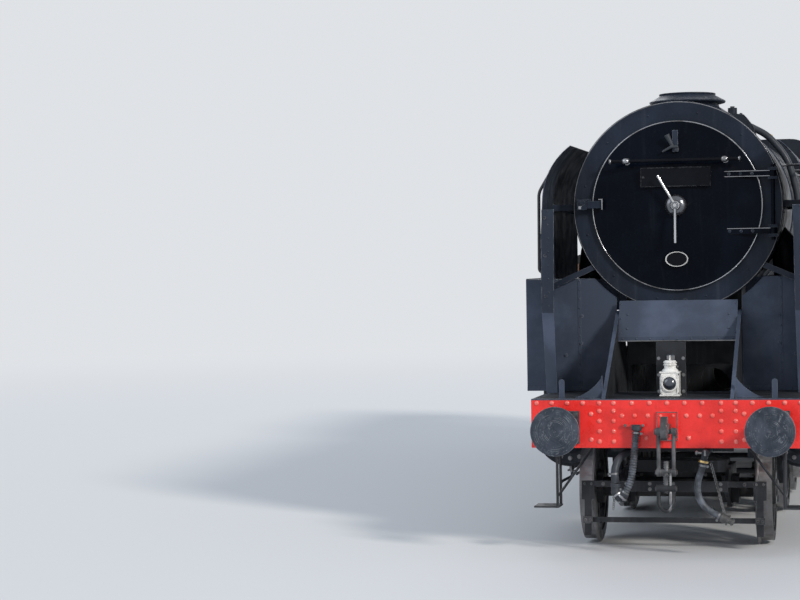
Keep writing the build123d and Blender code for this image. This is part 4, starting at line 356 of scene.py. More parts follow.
def lamp_enamel():
    """White enamel, chipped at its edges and sooty in patches."""
    finish = Finish("white_lamp_paint", Coat_Weight=0.3)
    base = finish.mixed(finish.graded(finish.noise(22.0, detail=8, roughness=0.65), 0.50, 0.74),
                        (0.80, 0.79, 0.76, 1), (0.50, 0.48, 0.44, 1))
    chips = finish.times(finish.worn_edges(0.005), finish.graded(finish.noise(60.0, detail=4), 0.44, 0.56))
    base = finish.mixed(chips, base, (0.10, 0.085, 0.075, 1))
    finish.set("Base Color", base)
    finish.set("Roughness", finish.graded(finish.noise(35.0, detail=5), 0.3, 0.7, 0.22, 0.45))
    finish.bump(finish.noise(55.0, detail=4), 0.0010, 0.5)
    return finish.material


def brass(name="turned_brass", bright=(0.78, 0.58, 0.26, 1), dull=(0.36, 0.24, 0.10, 1)):
    """Turned brass or copper, tarnished in patches."""
    finish = Finish(name, metallic=1.0)
    tarnish = finish.graded(finish.noise(18.0, detail=7, roughness=0.65), 0.42, 0.66)
    finish.set("Base Color", finish.mixed(tarnish, bright, dull))
    finish.set("Roughness", finish.graded(finish.noise(40.0, detail=5), 0.3, 0.7, 0.18, 0.42))
    finish.bump(finish.noise(90.0, detail=4), 0.0006, 0.5)
    return finish.material


def clear_glass():
    """Thin window glass with grime on it."""
    finish = Finish("cab_window_glass", roughness=0.04, Alpha=0.22)
    grime = finish.graded(finish.noise(7.0, detail=7, roughness=0.65), 0.45, 0.75)
    finish.set("Base Color", finish.mixed(grime, (0.10, 0.13, 0.13, 1), (0.22, 0.22, 0.20, 1)))
    finish.bump(finish.noise(3.0, detail=2), 0.0008, 0.3)
    return finish.material


def lens_glass():
    """Thick dark glass with a clear polish."""
    finish = Finish("lamp_lens_glass", roughness=0.03, metallic=0.2, Coat_Weight=1.0)
    finish.set("Coat Roughness", 0.02)
    depth = finish.graded(finish.noise(10.0, detail=3), 0.35, 0.7)
    finish.set("Base Color", finish.mixed(depth, (0.012, 0.014, 0.020, 1), (0.045, 0.055, 0.075, 1)))
    finish.bump(finish.noise(30.0, detail=1), 0.0004, 0.3)
    return finish.material


def planked_wood(name, colour=(0.24, 0.155, 0.085, 1), plank=0.14):
    """Boards across the engine with grain along them, dark joints and coal dust."""
    finish = Finish(name)
    grain = finish.noise(16.0, (1, 18, 18), detail=7, roughness=0.6, distortion=0.4)
    base = finish.mixed(finish.graded(grain, 0.35, 0.68), shade(colour, 0.55), shade(colour, 1.3))
    split = finish.node("ShaderNodeSeparateXYZ", {0: finish.place}).outputs["Y"]
    step = finish.node("ShaderNodeMath", {0: split, 1: plank}, operation="PINGPONG").outputs[0]
    joint = finish.graded(step, 0.0, 0.005, 1.0, 0.0)
    base = finish.mixed(finish.times(joint, 0.9), base, (0.015, 0.012, 0.010, 1))
    coal = finish.graded(finish.noise(5.0, detail=8, roughness=0.66), 0.40, 0.70)
    base = finish.mixed(finish.times(coal, 0.7), base, (0.030, 0.028, 0.026, 1))
    finish.set("Base Color", base)
    finish.set("Roughness", finish.graded(grain, 0.3, 0.7, 0.62, 0.85))
    finish.bump(grain, 0.0015, 0.6)
    return finish.material


# the blue tint of these and of the black paints below is partly painted light, the cast of blue skylight on
# black paint in shade; SLATE's blue also stands in for the sky reflected in the front sheets
BLACK = (0.017, 0.021, 0.029)
SLATE = (0.062, 0.080, 0.120)
# the slots of the record, then finishes for areas and small pieces
FINISHES = {
    "frame_black": painted("frame_paint", (0.026, 0.028, 0.032), 0.42, 0.45, 0.35, 0.6),
    "spring_steel": cast_iron("spring_iron", (0.075, 0.068, 0.060, 1), 0.6, 0.4),
    "beam_red": red_paint(),
    "buffer_black": buffer_face(),
    "hook_steel": cast_iron("forged_hook_steel", (0.085, 0.088, 0.095, 1), 0.42, 0.12),
    "platform_black": painted("front_plate_paint", SLATE, 0.40, 0.30, 0.40, 0.45),
    "lamp_white": lamp_enamel(),
    "deflector_black": painted("deflector_paint", (0.021, 0.028, 0.042), 0.36, 0.18, 0.45, 0.04),
    "smokebox_black": painted("smokebox_paint", (0.012, 0.018, 0.031), 0.38, 0.28, 0.35, 0.22, shine=0.16),
    "door_steel": bare_steel("polished_door_steel", (0.62, 0.63, 0.65, 1), 0.20, (1, 1, 0.05), 0.15),
    "boiler_black": painted("boiler_paint", BLACK, 0.44, 0.25, 0.20, 0.40, shine=0.15),
    "valve_brass": brass(),
    "cylinder_black": painted("cylinder_paint", BLACK, 0.36, 0.35, 0.30, 0.5),
    "motion_steel": bare_steel("oiled_rod_steel"),
    "cab_black": painted("cab_paint", BLACK, 0.42, 0.25, 0.30, 0.40, shine=0.16),
    "cab_floor_wood": planked_wood("cab_floor_boards"),
    "cab_glass": clear_glass(),
    "cab_fittings": cast_iron("cab_fitting_iron", (0.06, 0.06, 0.062, 1), 0.45, 0.1),
    "seat_wood": planked_wood("seat_boards", (0.30, 0.17, 0.08, 1), 0.11),
    "wheel_black": painted("wheel_paint", (0.034, 0.035, 0.037), 0.38, 0.45, 0.35, 0.2),
    "handrail_black": painted("handrail_paint", (0.05, 0.052, 0.056), 0.36, 0.3, 0.5, 0.2),
    "pipe_black": painted("pipe_paint", (0.040, 0.046, 0.056), 0.42, 0.4, 0.4, 0.3),
    "hose_rubber": hose_rubber(),
    "coupler_iron": cast_iron("coupler_iron", (0.09, 0.09, 0.09, 1), 0.5, 0.3),
    "door_black": painted("gloss_door_paint", (0.0025, 0.0040, 0.0080), 0.20, 0.06, 0.08, 0.05, shine=0.05),
    "plate_black": painted("gloss_plate_paint", (0.005, 0.006, 0.009), 0.22, 0.04, 0.35, 0.0, shine=0.08),
    "plate_white": painted("white_plate_paint", (0.62, 0.62, 0.60), 0.3, 0.1, 0.0, 0.1, (0.3, 0.3, 0.29, 1)),
    "worn_steel": bare_steel("worn_steel", (0.24, 0.245, 0.255, 1), 0.34, (1, 1, 0.2), 0.6),
    "dark_steel": bare_steel("dark_polished_steel", (0.17, 0.18, 0.20, 1), 0.16, (1, 1, 1), 0.3),
    # darker slate: on the deflector posts' upper front faces it is painted shade; its strong edge wear, here
    # and on the door's lamp iron, is partly rubbed paint and partly painted highlights along the edges
    "post_paint": painted("deflector_post_paint", (0.022, 0.031, 0.050), 0.40, 0.30, 0.9, 0.2),
    # the rivet heads' paler, pinker red is a painted highlight, the glint of light on their gloss paint
    "rivet_red_highlight": red_paint("beam_rivet_highlight_paint", (0.92, 0.19, 0.16, 1), (0.84, 0.10, 0.08, 1), 0.6),
    "bead_steel": bare_steel("rim_bead_steel", (0.35, 0.36, 0.38, 1), 0.24, (1, 1, 1), 0.8),
    "lens_glass": lens_glass(),
    # near-black paint for the deck's upward faces and the lamp's bracket: painted shade, the shadow of the
    # smokebox and deflectors on them
    "deck_black": painted("deck_shade_paint", (0.020, 0.022, 0.026), 0.5, 0.3, 0.3, 0.3),
    "buffer_stock": painted("buffer_stock_paint", (0.045, 0.050, 0.060), 0.34, 0.4, 0.4, 0.3),
    "tyre_steel": bare_steel("tyre_steel", (0.26, 0.26, 0.27, 1), 0.42, (0.05, 1, 1), 0.5),
    "brass": brass("polished_brass"),
    "copper": brass("copper_pipe", (0.42, 0.22, 0.15, 1), (0.13, 0.075, 0.055, 1)),
    "rod_bright": bare_steel("rod_fitting_steel", (0.42, 0.42, 0.42, 1), 0.28, (1, 1, 1), 0.5),
    "window_wood": planked_wood("window_frame_wood", (0.16, 0.085, 0.04, 1), 3.0),
    "dial_white": painted("blank_dial_face", (0.72, 0.71, 0.68), 0.3, 0.05, 0.0, 0.05),
    "coal_black": painted("backhead_paint", (0.020, 0.020, 0.021), 0.3, 0.3, 0.3, 0.1),
}
SLOT_OF = {entry["node"]: entry["material_slot"] for entry in frame["record"]["subparts"]}
BODY_OF = {node: body for body, nodes in frame["record"]["behaviour"]["bodies"].items() for node in nodes}


# Making pieces

def rounded(points, corner):
    """The points with each corner turned into a short curve."""
    path = [points[0]]
    for a, b, c in zip(points, points[1:], points[2:]):
        cut = min(corner, 0.45 * (b - a).length, 0.45 * (c - b).length)
        start, end = b + (a - b).normalized() * cut, b + (c - b).normalized() * cut
        path += [start.lerp(b, t).lerp(b.lerp(end, t), t) for t in (0, 0.2, 0.4, 0.6, 0.8, 1)]
    return path + [points[-1]]


def turns(count, start=0.0):
    """Angles in even steps round a circle, begun at a share of a step."""
    return [2 * pi * (i + start) / count for i in range(count)]


def ring_section(r, section_r, sides):
    """The profile of a ring of round section, for a turned piece."""
    return [(r + section_r * cos(a), section_r * sin(a)) for a in turns(sides)]


class Form:
    """A mesh made with bmesh operators, in the engine's millimetres."""

    def __init__(self):
        self.mesh = bmesh.new()

    def block(self, x0, x1, y0, y1, z0, z1):
        """A box between two values of x, of y and of z."""
        middle = Vector(((x0 + x1) / 2, (y0 + y1) / 2, (z0 + z1) / 2))
        size = Matrix.Diagonal((abs(x1 - x0), abs(y1 - y0), abs(z1 - z0), 1))
        return bmesh.ops.create_cube(self.mesh, size=1, matrix=Matrix.Translation(middle) @ size)["verts"]

    def rod(self, a, b, r, end_r=None, sides=24):
        """A round or many-sided rod from a to b, which may taper."""
        a, b = Vector(a), Vector(b)
        turn = (b - a).to_track_quat("Z", "Y").to_matrix().to_4x4()
        return bmesh.ops.create_cone(self.mesh, cap_ends=True, segments=sides, radius1=r,
                                     radius2=r if end_r is None else end_r, depth=(b - a).length,
                                     matrix=Matrix.Translation((a + b) / 2) @ turn)["verts"]

    def turned(self, profile, centre, axis, sides=96, closed=False):
        """A turned piece from (radius, distance along the axis) points about an axis through centre."""
        part = bmesh.new()
        spots = [part.verts.new((r, 0, d)) for r, d in profile]
        pairs = list(zip(spots, spots[1:])) + ([(spots[-1], spots[0])] if closed else [])
        edges = [part.edges.new(pair) for pair in pairs]
        bmesh.ops.spin(part, geom=spots + edges, cent=(0, 0, 0), axis=(0, 0, 1), angle=2 * pi, steps=sides,
                       use_merge=True)
        bmesh.ops.remove_doubles(part, verts=part.verts, dist=0.01)
        bmesh.ops.recalc_face_normals(part, faces=part.faces)
        turn = Vector(axis).to_track_quat("Z", "Y").to_matrix().to_4x4()
        bmesh.ops.transform(part, matrix=Matrix.Translation(centre) @ turn, verts=part.verts)
        self.take(part)

    def take(self, part):
        """Adds another bmesh to this one."""
        carrier = bpy.data.meshes.new("carrier")
        part.to_mesh(carrier)
        part.free()
        self.mesh.from_mesh(carrier)
        bpy.data.meshes.remove(carrier)

    def stamp(self, small, spots, normal):
        """Repeats a small form, made standing along Z, at each spot of a face."""
        turn = Vector(normal).to_track_quat("Z", "Y").to_matrix().to_4x4()
        mould = bpy.data.meshes.new("mould")
        small.mesh.to_mesh(mould)
        small.mesh.free()
        for spot in spots:
            place = Matrix.Translation(spot) @ turn
            mould.transform(place)
            self.mesh.from_mesh(mould)
            mould.transform(place.inverted())
        bpy.data.meshes.remove(mould)

    def rivets(self, spots, normal, r=16.0, proud=0.62, sides=10):
        """Round heads on a face, half sunk, at the given spots."""
        head = Form()
        bmesh.ops.create_uvsphere(head.mesh, u_segments=sides, v_segments=6, radius=r,
                                  matrix=Matrix.Diagonal((1, 1, proud, 1)))
        self.stamp(head, spots, normal)

    def bolts(self, spots, normal, r=14.0, height=12.0):
        """Hexagon heads on washers on a face."""
        head = Form()
        head.rod((0, 0, -2), (0, 0, 2), r * 1.35, sides=16)
        head.rod((0, 0, 0), (0, 0, height), r, r * 0.94, sides=6)
        self.stamp(head, spots, normal)

    def bars(self, boxes):
        """A box for each six values."""
        for box in boxes:
            self.block(*box)

    def pipe(self, points, r, corner=50.0, sides=12):
        """A round bar or pipe through the points, bent at each corner."""
        path = rounded([Vector(point) for point in points], corner)
        part = bmesh.new()
        loops, turn, last = [], None, Vector((0, 0, 1))
        for i, spot in enumerate(path):
            ahead = (path[min(i + 1, len(path) - 1)] - path[max(i - 1, 0)]).normalized()
            turn = last.rotation_difference(ahead) @ turn if turn else last.rotation_difference(ahead)
            last = ahead
            made = bmesh.ops.create_circle(part, cap_ends=False, segments=sides, radius=r,
                                           matrix=Matrix.Translation(spot) @ turn.to_matrix().to_4x4())
            loops.append(list({edge for v in made["verts"] for edge in v.link_edges}))
        for a, b in zip(loops, loops[1:]):
            bmesh.ops.bridge_loops(part, edges=a + b)
        bmesh.ops.holes_fill(part, edges=part.edges)
        bmesh.ops.recalc_face_normals(part, faces=part.faces)
        self.take(part)

    def chain(self, a, b, link=11.0, wire=2.6):
        """Round links from a to b, each turned across the one before."""
        a, b = Vector(a), Vector(b)
        along = (b - a).normalized()
        across = along.orthogonal().normalized()
        count = max(2, int((b - a).length / (1.35 * link)))
        ring = ring_section(link, wire, 6)
        for i in range(count):
            axis = across if i % 2 else along.cross(across)
            self.turned(ring, a.lerp(b, (i + 0.5) / count), axis, 9, closed=True)

    def both_sides(self):
        """Repeats the mesh on the engine's other side."""
        other = self.mesh.copy()
        bmesh.ops.scale(other, vec=(-1, 1, 1), verts=other.verts)
        bmesh.ops.reverse_faces(other, faces=other.faces)
        self.take(other)

    def done(self, name, slot, body, replaces=(), smooth=32, bevel=0.0, finish=None):
        """Ends the mesh as one object that rides on a body and takes a slot's finish."""
        mesh = bpy.data.meshes.new(name)
        self.mesh.to_mesh(mesh)
        self.mesh.free()
        mesh.transform(TO_FRAME)
        return set_up(name, mesh, slot, body, replaces, smooth, bevel, finish)


def set_up(name, mesh, slot, body, replaces=(), smooth=32, bevel=0.0, finish=None):
    """Links a mesh in the frame's metres as one piece, with its finish or its slot's finish, its eased edges
    and its body.
    """
    mesh.materials.clear()
    mesh.materials.append(finish or FINISHES[slot])
    mesh.polygons.foreach_set("use_smooth", [True] * len(mesh.polygons))
    mesh.set_sharp_from_angle(angle=radians(smooth))
    piece = bpy.data.objects.new(name, mesh)
    bpy.context.collection.objects.link(piece)
    if bevel:
        edge = piece.modifiers.new("edges", "BEVEL")
        edge.width = bevel / 1000
        edge.segments = 2
        edge.limit_method = "ANGLE"
        edge.angle_limit = radians(38)
        edge.use_clamp_overlap = True
        edge.harden_normals = True
    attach(piece, body)
    if replaces:
        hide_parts(*replaces)
    return piece


def dressed(node, bevel=0.0, look=None, areas=(), smooth=32):
    """The node's own shape with its faces merged, shaded smooth and with its edges eased.

    Each area is the name of another finish and a test on a face's middle and direction in the engine's frame.
    """
    shape = bmesh.new()
    shape.from_mesh(frame["nodes"][node].data)
    bmesh.ops.remove_doubles(shape, verts=shape.verts, dist=0.00002)
    bmesh.ops.dissolve_limit(shape, angle_limit=radians(1.5), verts=shape.verts, edges=shape.edges)
    mesh = bpy.data.meshes.new(f"{node}_skin")
    shape.to_mesh(mesh)
    shape.free()
    slot = SLOT_OF[node]
    set_up(f"{node}_skin", mesh, slot, BODY_OF[node], (node,), smooth, bevel, FINISHES[look or slot])
    for number, (name, test) in enumerate(areas, 1):
        mesh.materials.append(FINISHES[name])
        for face in mesh.polygons:
            if test(TO_ENGINE @ face.center, face.normal):
                face.material_index = number


def finish_plain_nodes(done):
    """Gives every node that nothing replaces the finish of its slot."""
    for node, piece in frame["nodes"].items():
        if node in done:
            continue
        for slot in piece.material_slots:
            slot.material = FINISHES[SLOT_OF[node]]


# Hoses

def route_curve(name, route, order=3):
    """A smooth line on the route's points."""
    data = bpy.data.curves.new(name, "CURVE")
    data.dimensions = "3D"
    data.resolution_u = 24
    line = data.splines.new("NURBS")
    line.points.add(len(route) - 1)
    for point, spot in zip(line.points, route):
        point.co = (*at(*spot), 1)
    line.order_u = order
    line.use_endpoint_u = True
    return data


def points_along(data):
    """The points of a curve's own line, as Blender gives them."""
    carrier = bpy.data.objects.new("carrier", data)
    bpy.context.collection.objects.link(carrier)
    bpy.context.view_layer.update()
    mesh = bpy.data.meshes.new_from_object(carrier)
    points = [v.co.copy() for v in mesh.vertices]
    bpy.data.objects.remove(carrier)
    bpy.data.meshes.remove(mesh)
    return points


def spread_evenly(points, step):
    """Points on the line at even distances."""
    found, left = [points[0]], step
    for a, b in zip(points, points[1:]):
        gap = (b - a).length
        while gap >= left:
            a = a.lerp(b, left / gap)
            found.append(a)
            gap, left = (b - a).length, step
        left -= gap
    return found


def length_of(points):
    """Length of the line through the points."""
    return sum((b - a).length for a, b in zip(points, points[1:]))


def vacuum_hose():
    """A wire-bound hose: its wall rises and falls over each turn of the wire."""
    points = points_along(route_curve("vacuum_hose_line", VACUUM_ROUTE))
    total = length_of(points)
    ribs = 25
    rings_a_rib = 6
    # a trace short, so that rounding doesn't lose the last station
    stations = spread_evenly(points, total / (ribs * rings_a_rib) * 0.99999)
    r = VACUUM_HOSE_R / 1000
    tube = bmesh.new()
    loops = []
    for i, spot in enumerate(stations):
        ahead = stations[min(i + 1, len(stations) - 1)] - stations[max(i - 1, 0)]
        turn = ahead.to_track_quat("Z", "Y").to_matrix().to_4x4()
        radius = r * (0.90 + 0.10 * cos(2 * pi * i / rings_a_rib))
        made = bmesh.ops.create_circle(tube, cap_ends=False, segments=28, radius=radius,
                                       matrix=Matrix.Translation(spot) @ turn)
        loops.append(list({edge for v in made["verts"] for edge in v.link_edges}))
    for a, b in zip(loops, loops[1:]):
        bmesh.ops.bridge_loops(tube, edges=a + b)
    bmesh.ops.holes_fill(tube, edges=tube.edges)
    bmesh.ops.recalc_face_normals(tube, faces=tube.faces)
    mesh = bpy.data.meshes.new("ribbed_hose")
    tube.to_mesh(mesh)
    tube.free()
    hose = set_up("ribbed_hose", mesh, "hose_rubber", "locomotive", ("vacuum_hose",), 60)


def steam_hose():
    """A plain round hose from the valve under the beam to its coupler."""
    data = route_curve("plain_hose", STEAM_ROUTE)
    total = length_of(points_along(data))
    data.bevel_depth = STEAM_HOSE_R / 1000
    data.bevel_resolution = 8
    data.use_fill_caps = True
    data.materials.append(FINISHES["hose_rubber"])
    hose = bpy.data.objects.new("plain_hose", data)
    bpy.context.collection.objects.link(hose)
    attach(hose, "locomotive")
    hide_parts("steam_heat_hose")


# Buffer beam

RIVET_R = 21.0

RIVET_ROW_Z = 1256.0
HOOK_PAD_FACE_Y = BEAM_FACE_Y - 20.0
# x and z of the rivets on the beam's left half: the top row, two columns, and those round the hook's pad
BEAM_RIVETS = [(x, RIVET_ROW_Z) for x in (145, 292, 446, 566, 704, 836, 967, 1095)]
BEAM_RIVETS += [(x, z) for x in (446, 566) for z in (1190, 1106, 1020, 935)]
BEAM_RIVETS += [(635, 1165), (635, 950), (375, 1150), (270, 1150), (160, 1150), (177, 965)]


def beam_rivets():
    heads = Form()
    spots = [(x, BEAM_FACE_Y, z) for x, z in BEAM_RIVETS]
    heads.rivets(spots, FORWARD, RIVET_R)
    heads.both_sides()
    heads.rivets([(0, BEAM_FACE_Y, RIVET_ROW_Z)], FORWARD, RIVET_R)
    heads.rivets([(x, HOOK_PAD_FACE_Y, 1150) for x in (-52, 52)], FORWARD, 14)
    # the heads take a paler red than the beam as a painted highlight
    heads.done("beam_rivet_heads", "beam_red", "locomotive", smooth=60, finish=FINISHES["rivet_red_highlight"])


# Smokebox front and door

RING_R = 922.0
DOOR_R = 745.0
DOOR_DISH = 120.0
DOOR_RIM = 34.0
DOOR_DOMED_R = 700.0
DOOR_BACK_Y = SMOKEBOX_FRONT_Y - 0.5
DOOR_FACE_Y = DOOR_BACK_Y - DOOR_RIM
DOOR_NOSE_Y = DOOR_BACK_Y - DOOR_DISH
HINGE_ZS = (BOILER_Z - 235.0, BOILER_Z + 265.0)
HINGE_FACE_Y = SMOKEBOX_FRONT_Y - 76.0
CATCH_Y = SMOKEBOX_FRONT_Y - 70.0
STUD_CIRCLE_R = 833.0
OBLONG_PLATE_Z = BOILER_Z + 250.0
OBLONG_PLATE_X, OBLONG_PLATE_RISE = 305.0, 85.0
OVAL_PLATE_Z = BOILER_Z - 470.0
OVAL_PLATE_X, OVAL_PLATE_RISE = 100.0, 66.0
PLATE_EDGE = 8.0


def door_y(x, z):
    """The domed door's surface at (x, z)."""
    rise = DOOR_DISH - DOOR_RIM
    ball = (DOOR_DOMED_R ** 2 + rise ** 2) / (2 * rise)
    return DOOR_NOSE_Y + ball - sqrt(ball ** 2 - x ** 2 - (z - BOILER_Z) ** 2)


def smokebox_front():
    """A bright bead round the door and the ring, and the ring's studs."""
    bead = Form()
    bead.turned(ring_section(DOOR_R - 2, 6.0, 10), (0, DOOR_FACE_Y + 2, BOILER_Z), FORWARD, 128, closed=True)
    bead.done("door_rim_bead", "door_steel", "smokebox_door", smooth=60, finish=FINISHES["bead_steel"])
    edge = Form()
    edge.turned(ring_section(RING_R - 9, 4.5, 10), (0, SMOKEBOX_FRONT_Y + 5, BOILER_Z), FORWARD, 128,
                closed=True)
    edge.done("ring_edge_bead", "smokebox_black", "locomotive", smooth=60, finish=FINISHES["worn_steel"])
    studs = Form()
    centre = Vector((0, SMOKEBOX_FRONT_Y, BOILER_Z))
    angles = [radians(17 + 30 * i) for i in range(12)]
    spots = [centre + Vector((STUD_CIRCLE_R * cos(a), 0, STUD_CIRCLE_R * sin(a))) for a in angles]
    studs.rivets(spots, FORWARD, 11, 0.5)
    studs.bolts([centre + Vector((x, 0, -STUD_CIRCLE_R)) for x in (-62, 62)], FORWARD, 15, 14)
    studs.done("ring_studs", "smokebox_black", "locomotive", smooth=40)


def door_boss():
    """The polished dome behind the door's handles."""
    boss = Form()
    boss.turned([(46, -6), (95, -6), (96, 2), (92, 12), (84, 24), (72, 34), (58, 41), (46, 44)],
                (0, DOOR_NOSE_Y - 18, BOILER_Z), FORWARD, 64, closed=True)
    boss.turned([(0, 92), (10, 92), (18, 96), (30, 94), (32, 84), (32, 76), (0, 76)],
                (0, DOOR_NOSE_Y - 22, BOILER_Z), FORWARD, 32)
    boss.done("door_boss_dome", "door_steel", "smokebox_door", smooth=40, finish=FINISHES["dark_steel"])


def hinge_straps():
    """Thin bright steel strips along the strap hinges' edges, as painted highlights where light catches them,
    and their nuts.
    """
    lines = Form()
    for z in (HINGE_ZS[0] + 23, HINGE_ZS[1] + 23, HINGE_ZS[1] - 23):
        lines.block(420, 828, HINGE_FACE_Y - 3, HINGE_FACE_Y + 2, z - 3, z + 3)
    lines.done("hinge_strap_edge_highlights", "door_steel", "smokebox_door", bevel=1, finish=FINISHES["bead_steel"])
    nuts = Form()
    nuts.bolts([(x, HINGE_FACE_Y, z) for z in HINGE_ZS for x in (460, 560, 660)], FORWARD, 11, 9)
    nuts.done("hinge_strap_nuts", "smokebox_black", "smokebox_door", smooth=30)


def rail_knobs():
    """End caps of the door's rail, and the knobs and collars that carry it."""
    rail_z = BOILER_Z + 395
    rail_y = door_y(0, rail_z) - 62
    ends = Form()
    for x in (-560, 550):
        outward = -1 if x < 0 else 1
        ends.turned([(0, 0), (19, 0), (22, 5), (22, 14), (16, 20), (0, 22)], (x, rail_y, rail_z),
                    (outward, 0, 0), 24)
    knob = [(0, -34), (16, -30), (25, -18), (28, 0), (25, 18), (16, 30), (0, 34)]
    collar = [(0, 0), (30, 0), (30, 8), (20, 12), (15, 30), (0, 30)]
    for x in (-430, 430):
        ends.turned(knob, (x, rail_y, rail_z), LEFTWARD, 32)
        ends.turned(collar, (x, door_y(x, rail_z), rail_z), FORWARD, 32)
    ends.done("door_rail_knobs", "door_steel", "smokebox_door", smooth=40, finish=FINISHES["bead_steel"])


def lamp_iron_clip():
    """The sprung clip of the lamp iron high on the door."""
    iron_z = BOILER_Z + 470
    iron_y = door_y(0, iron_z)
    clip = Form()
    clip.rod((-26, iron_y - 34, iron_z + 48), (-112, iron_y - 40, iron_z + 2), 14, 8, sides=12)
    clip.rod((-22, iron_y - 34, iron_z + 48), (-72, iron_y - 40, iron_z + 150), 14, 26, sides=12)
    clip.rod((-40, iron_y - 34, iron_z + 44), (26, iron_y - 34, iron_z + 44), 15, sides=16)
    clip.bolts([(12, iron_y - 30, iron_z + 20)], FORWARD, 15, 10)
    clip.done("lamp_iron_clip", "door_steel", "smokebox_door", bevel=1.5, finish=FINISHES["pipe_black"])


def door_catch():
    """The keeper on the ring, and the door's tongue, which lies beside it when the door is shut."""
    y = CATCH_Y
    keeper = Form()
    keeper.block(-RING_R + 48, -RING_R + 132, y - 26, y, BOILER_Z - 22, BOILER_Z + 68)
    keeper.bolts([(-RING_R + 92, y - 26, BOILER_Z + 42)], FORWARD, 19, 16)
    keeper.done("door_keeper", "smokebox_black", "locomotive", bevel=2)
    pin = Form()
    pin.block(-RING_R + 60, -RING_R + 84, y - 31, y - 26, BOILER_Z - 16, BOILER_Z + 12)
    pin.done("door_keeper_pin", "smokebox_black", "locomotive", bevel=1.5, finish=FINISHES["bead_steel"])
    tongue = Form()
    tongue.block(-RING_R + 134, -DOOR_R + 92, y - 14, y - 4, BOILER_Z - 10, BOILER_Z + 56)
    seat_y = door_y(-DOOR_R + 62, BOILER_Z) + 2
    tongue.block(-DOOR_R + 62, -DOOR_R + 86, y - 4, seat_y, BOILER_Z, BOILER_Z + 46)
    tongue.done("door_tongue", "smokebox_black", "smokebox_door", bevel=2)
    end = Form()
    end.block(-DOOR_R + 88, -DOOR_R + 97, y - 32, y + 4, BOILER_Z - 24, BOILER_Z + 72)
    end.block(-DOOR_R + 58, -DOOR_R + 88, y - 18, y - 4, BOILER_Z + 64, BOILER_Z + 72)
    end.done("door_tongue_end", "smokebox_black", "smokebox_door", bevel=1.5, finish=FINISHES["bead_steel"])


def blank_plates():
    """The two plates on the door, left blank: one oblong with a raised edge, one oval."""
    z = OBLONG_PLATE_Z
    y = door_y(0, z - OBLONG_PLATE_RISE) - 24.3
    half, rise = OBLONG_PLATE_X, OBLONG_PLATE_RISE
    inner, low = half - PLATE_EDGE, rise - PLATE_EDGE
    edge = Form()
    for x0, x1, z0, z1 in ((-half, half, low, rise), (-half, half, -rise, -low), (-half, -inner, -low, low),
                           (inner, half, -low, low)):
        edge.block(x0, x1, y - 4, y, z + z0, z + z1)
    edge.bolts([(x, y, z) for x in (-280, 280)], FORWARD, 7, 5)
    edge.done("oblong_plate_edge", "smokebox_black", "smokebox_door", finish=FINISHES["plate_black"])
    oval = Form()
    r, inner_r = OVAL_PLATE_RISE, 0.90 * OVAL_PLATE_RISE
    z = OVAL_PLATE_Z
    y = door_y(0, z + r) - 14.3
    oval.turned([(inner_r, -1), (inner_r, 3.5), (r, 3.5), (r, -1)], (0, y, z), FORWARD, 64, closed=True)
    bmesh.ops.scale(oval.mesh, vec=(OVAL_PLATE_X / r, 1, 1), verts=oval.mesh.verts)
    oval.done("oval_plate_rim", "smokebox_black", "smokebox_door", smooth=30, finish=FINISHES["plate_white"])


# Head lamp

LAMP_FRONT_Y, LAMP_BACK_Y = 740.7, 891.7


def head_lamp():
    """A white oil lamp: square case, round lens in a sliding door, tall vent with its carrying handle."""
    y0, y1 = LAMP_FRONT_Y, LAMP_BACK_Y
    case = Form()
    case.block(-80, 80, y0 + 6, y1, 1306, 1496)
    case.block(-86, 86, y0, y1, 1296, 1310)
    case.block(-86, 86, y0, y1, 1492, 1504)
    case.block(-70, -60, y0 - 2, y0 + 8, 1310, 1492)
    case.block(60, 70, y0 - 2, y0 + 8, 1310, 1492)
    case.done("lamp_case", "lamp_white", "locomotive", ("head_lamp",), bevel=3)
    vent = Form()
    middle = (0, (y0 + y1) / 2, 0)
    outline = [(0, 1500), (72, 1502), (66, 1516), (54, 1528), (50, 1532), (50, 1552), (58, 1556),
               (58, 1562), (52, 1566), (52, 1572), (59, 1576), (59, 1583), (44, 1597), (0, 1600)]
    vent.turned(outline, middle, UPWARD, 40)
    vent.done("lamp_vent", "lamp_white", "locomotive", smooth=35)
    handle = Form()
    handle.pipe([(0, y0 + 28, 1560), (0, y0 + 28, 1612), (0, y0 + 58, 1636), (0, y0 + 94, 1636),
                 (0, y0 + 124, 1612), (0, y0 + 124, 1560)], 4.5, 20, 8)
    handle.done("lamp_handle", "lamp_white", "locomotive", bevel=1.5)
    lens = Form()
    front = (0, y0 + 6, 1404)
    lens.turned([(0, 34), (22, 32), (40, 25), (52, 14), (56, 6), (56, 0), (0, 0)], front, FORWARD, 56)
    lens.done("lamp_lens", "lamp_white", "locomotive", smooth=50, finish=FINISHES["lens_glass"])
    rim = Form()
    rim.turned([(55, -1), (55, 16), (60, 20), (68, 18), (72, 8), (72, -1)], front, FORWARD, 56, closed=True)
    rim.done("lamp_lens_rim", "lamp_white", "locomotive", smooth=40)
    trim = Form()
    trim.bolts([(x, y0 + 6, z) for x in (-75, 75) for z in (1322, 1480)], FORWARD, 5, 4)
    trim.rod((-84, y0 + 40, 1460), (-84, y0 + 40, 1330), 5, sides=12)
    trim.bolts([(-50, y0 + 2, 1448), (50, y0 + 2, 1360)], FORWARD, 5, 5)
    trim.rod((58, y0 + 76, 1544), (70, y0 + 76, 1544), 8, sides=12)
    trim.done("lamp_trim", "lamp_white", "locomotive", finish=FINISHES["worn_steel"])


# Buffers

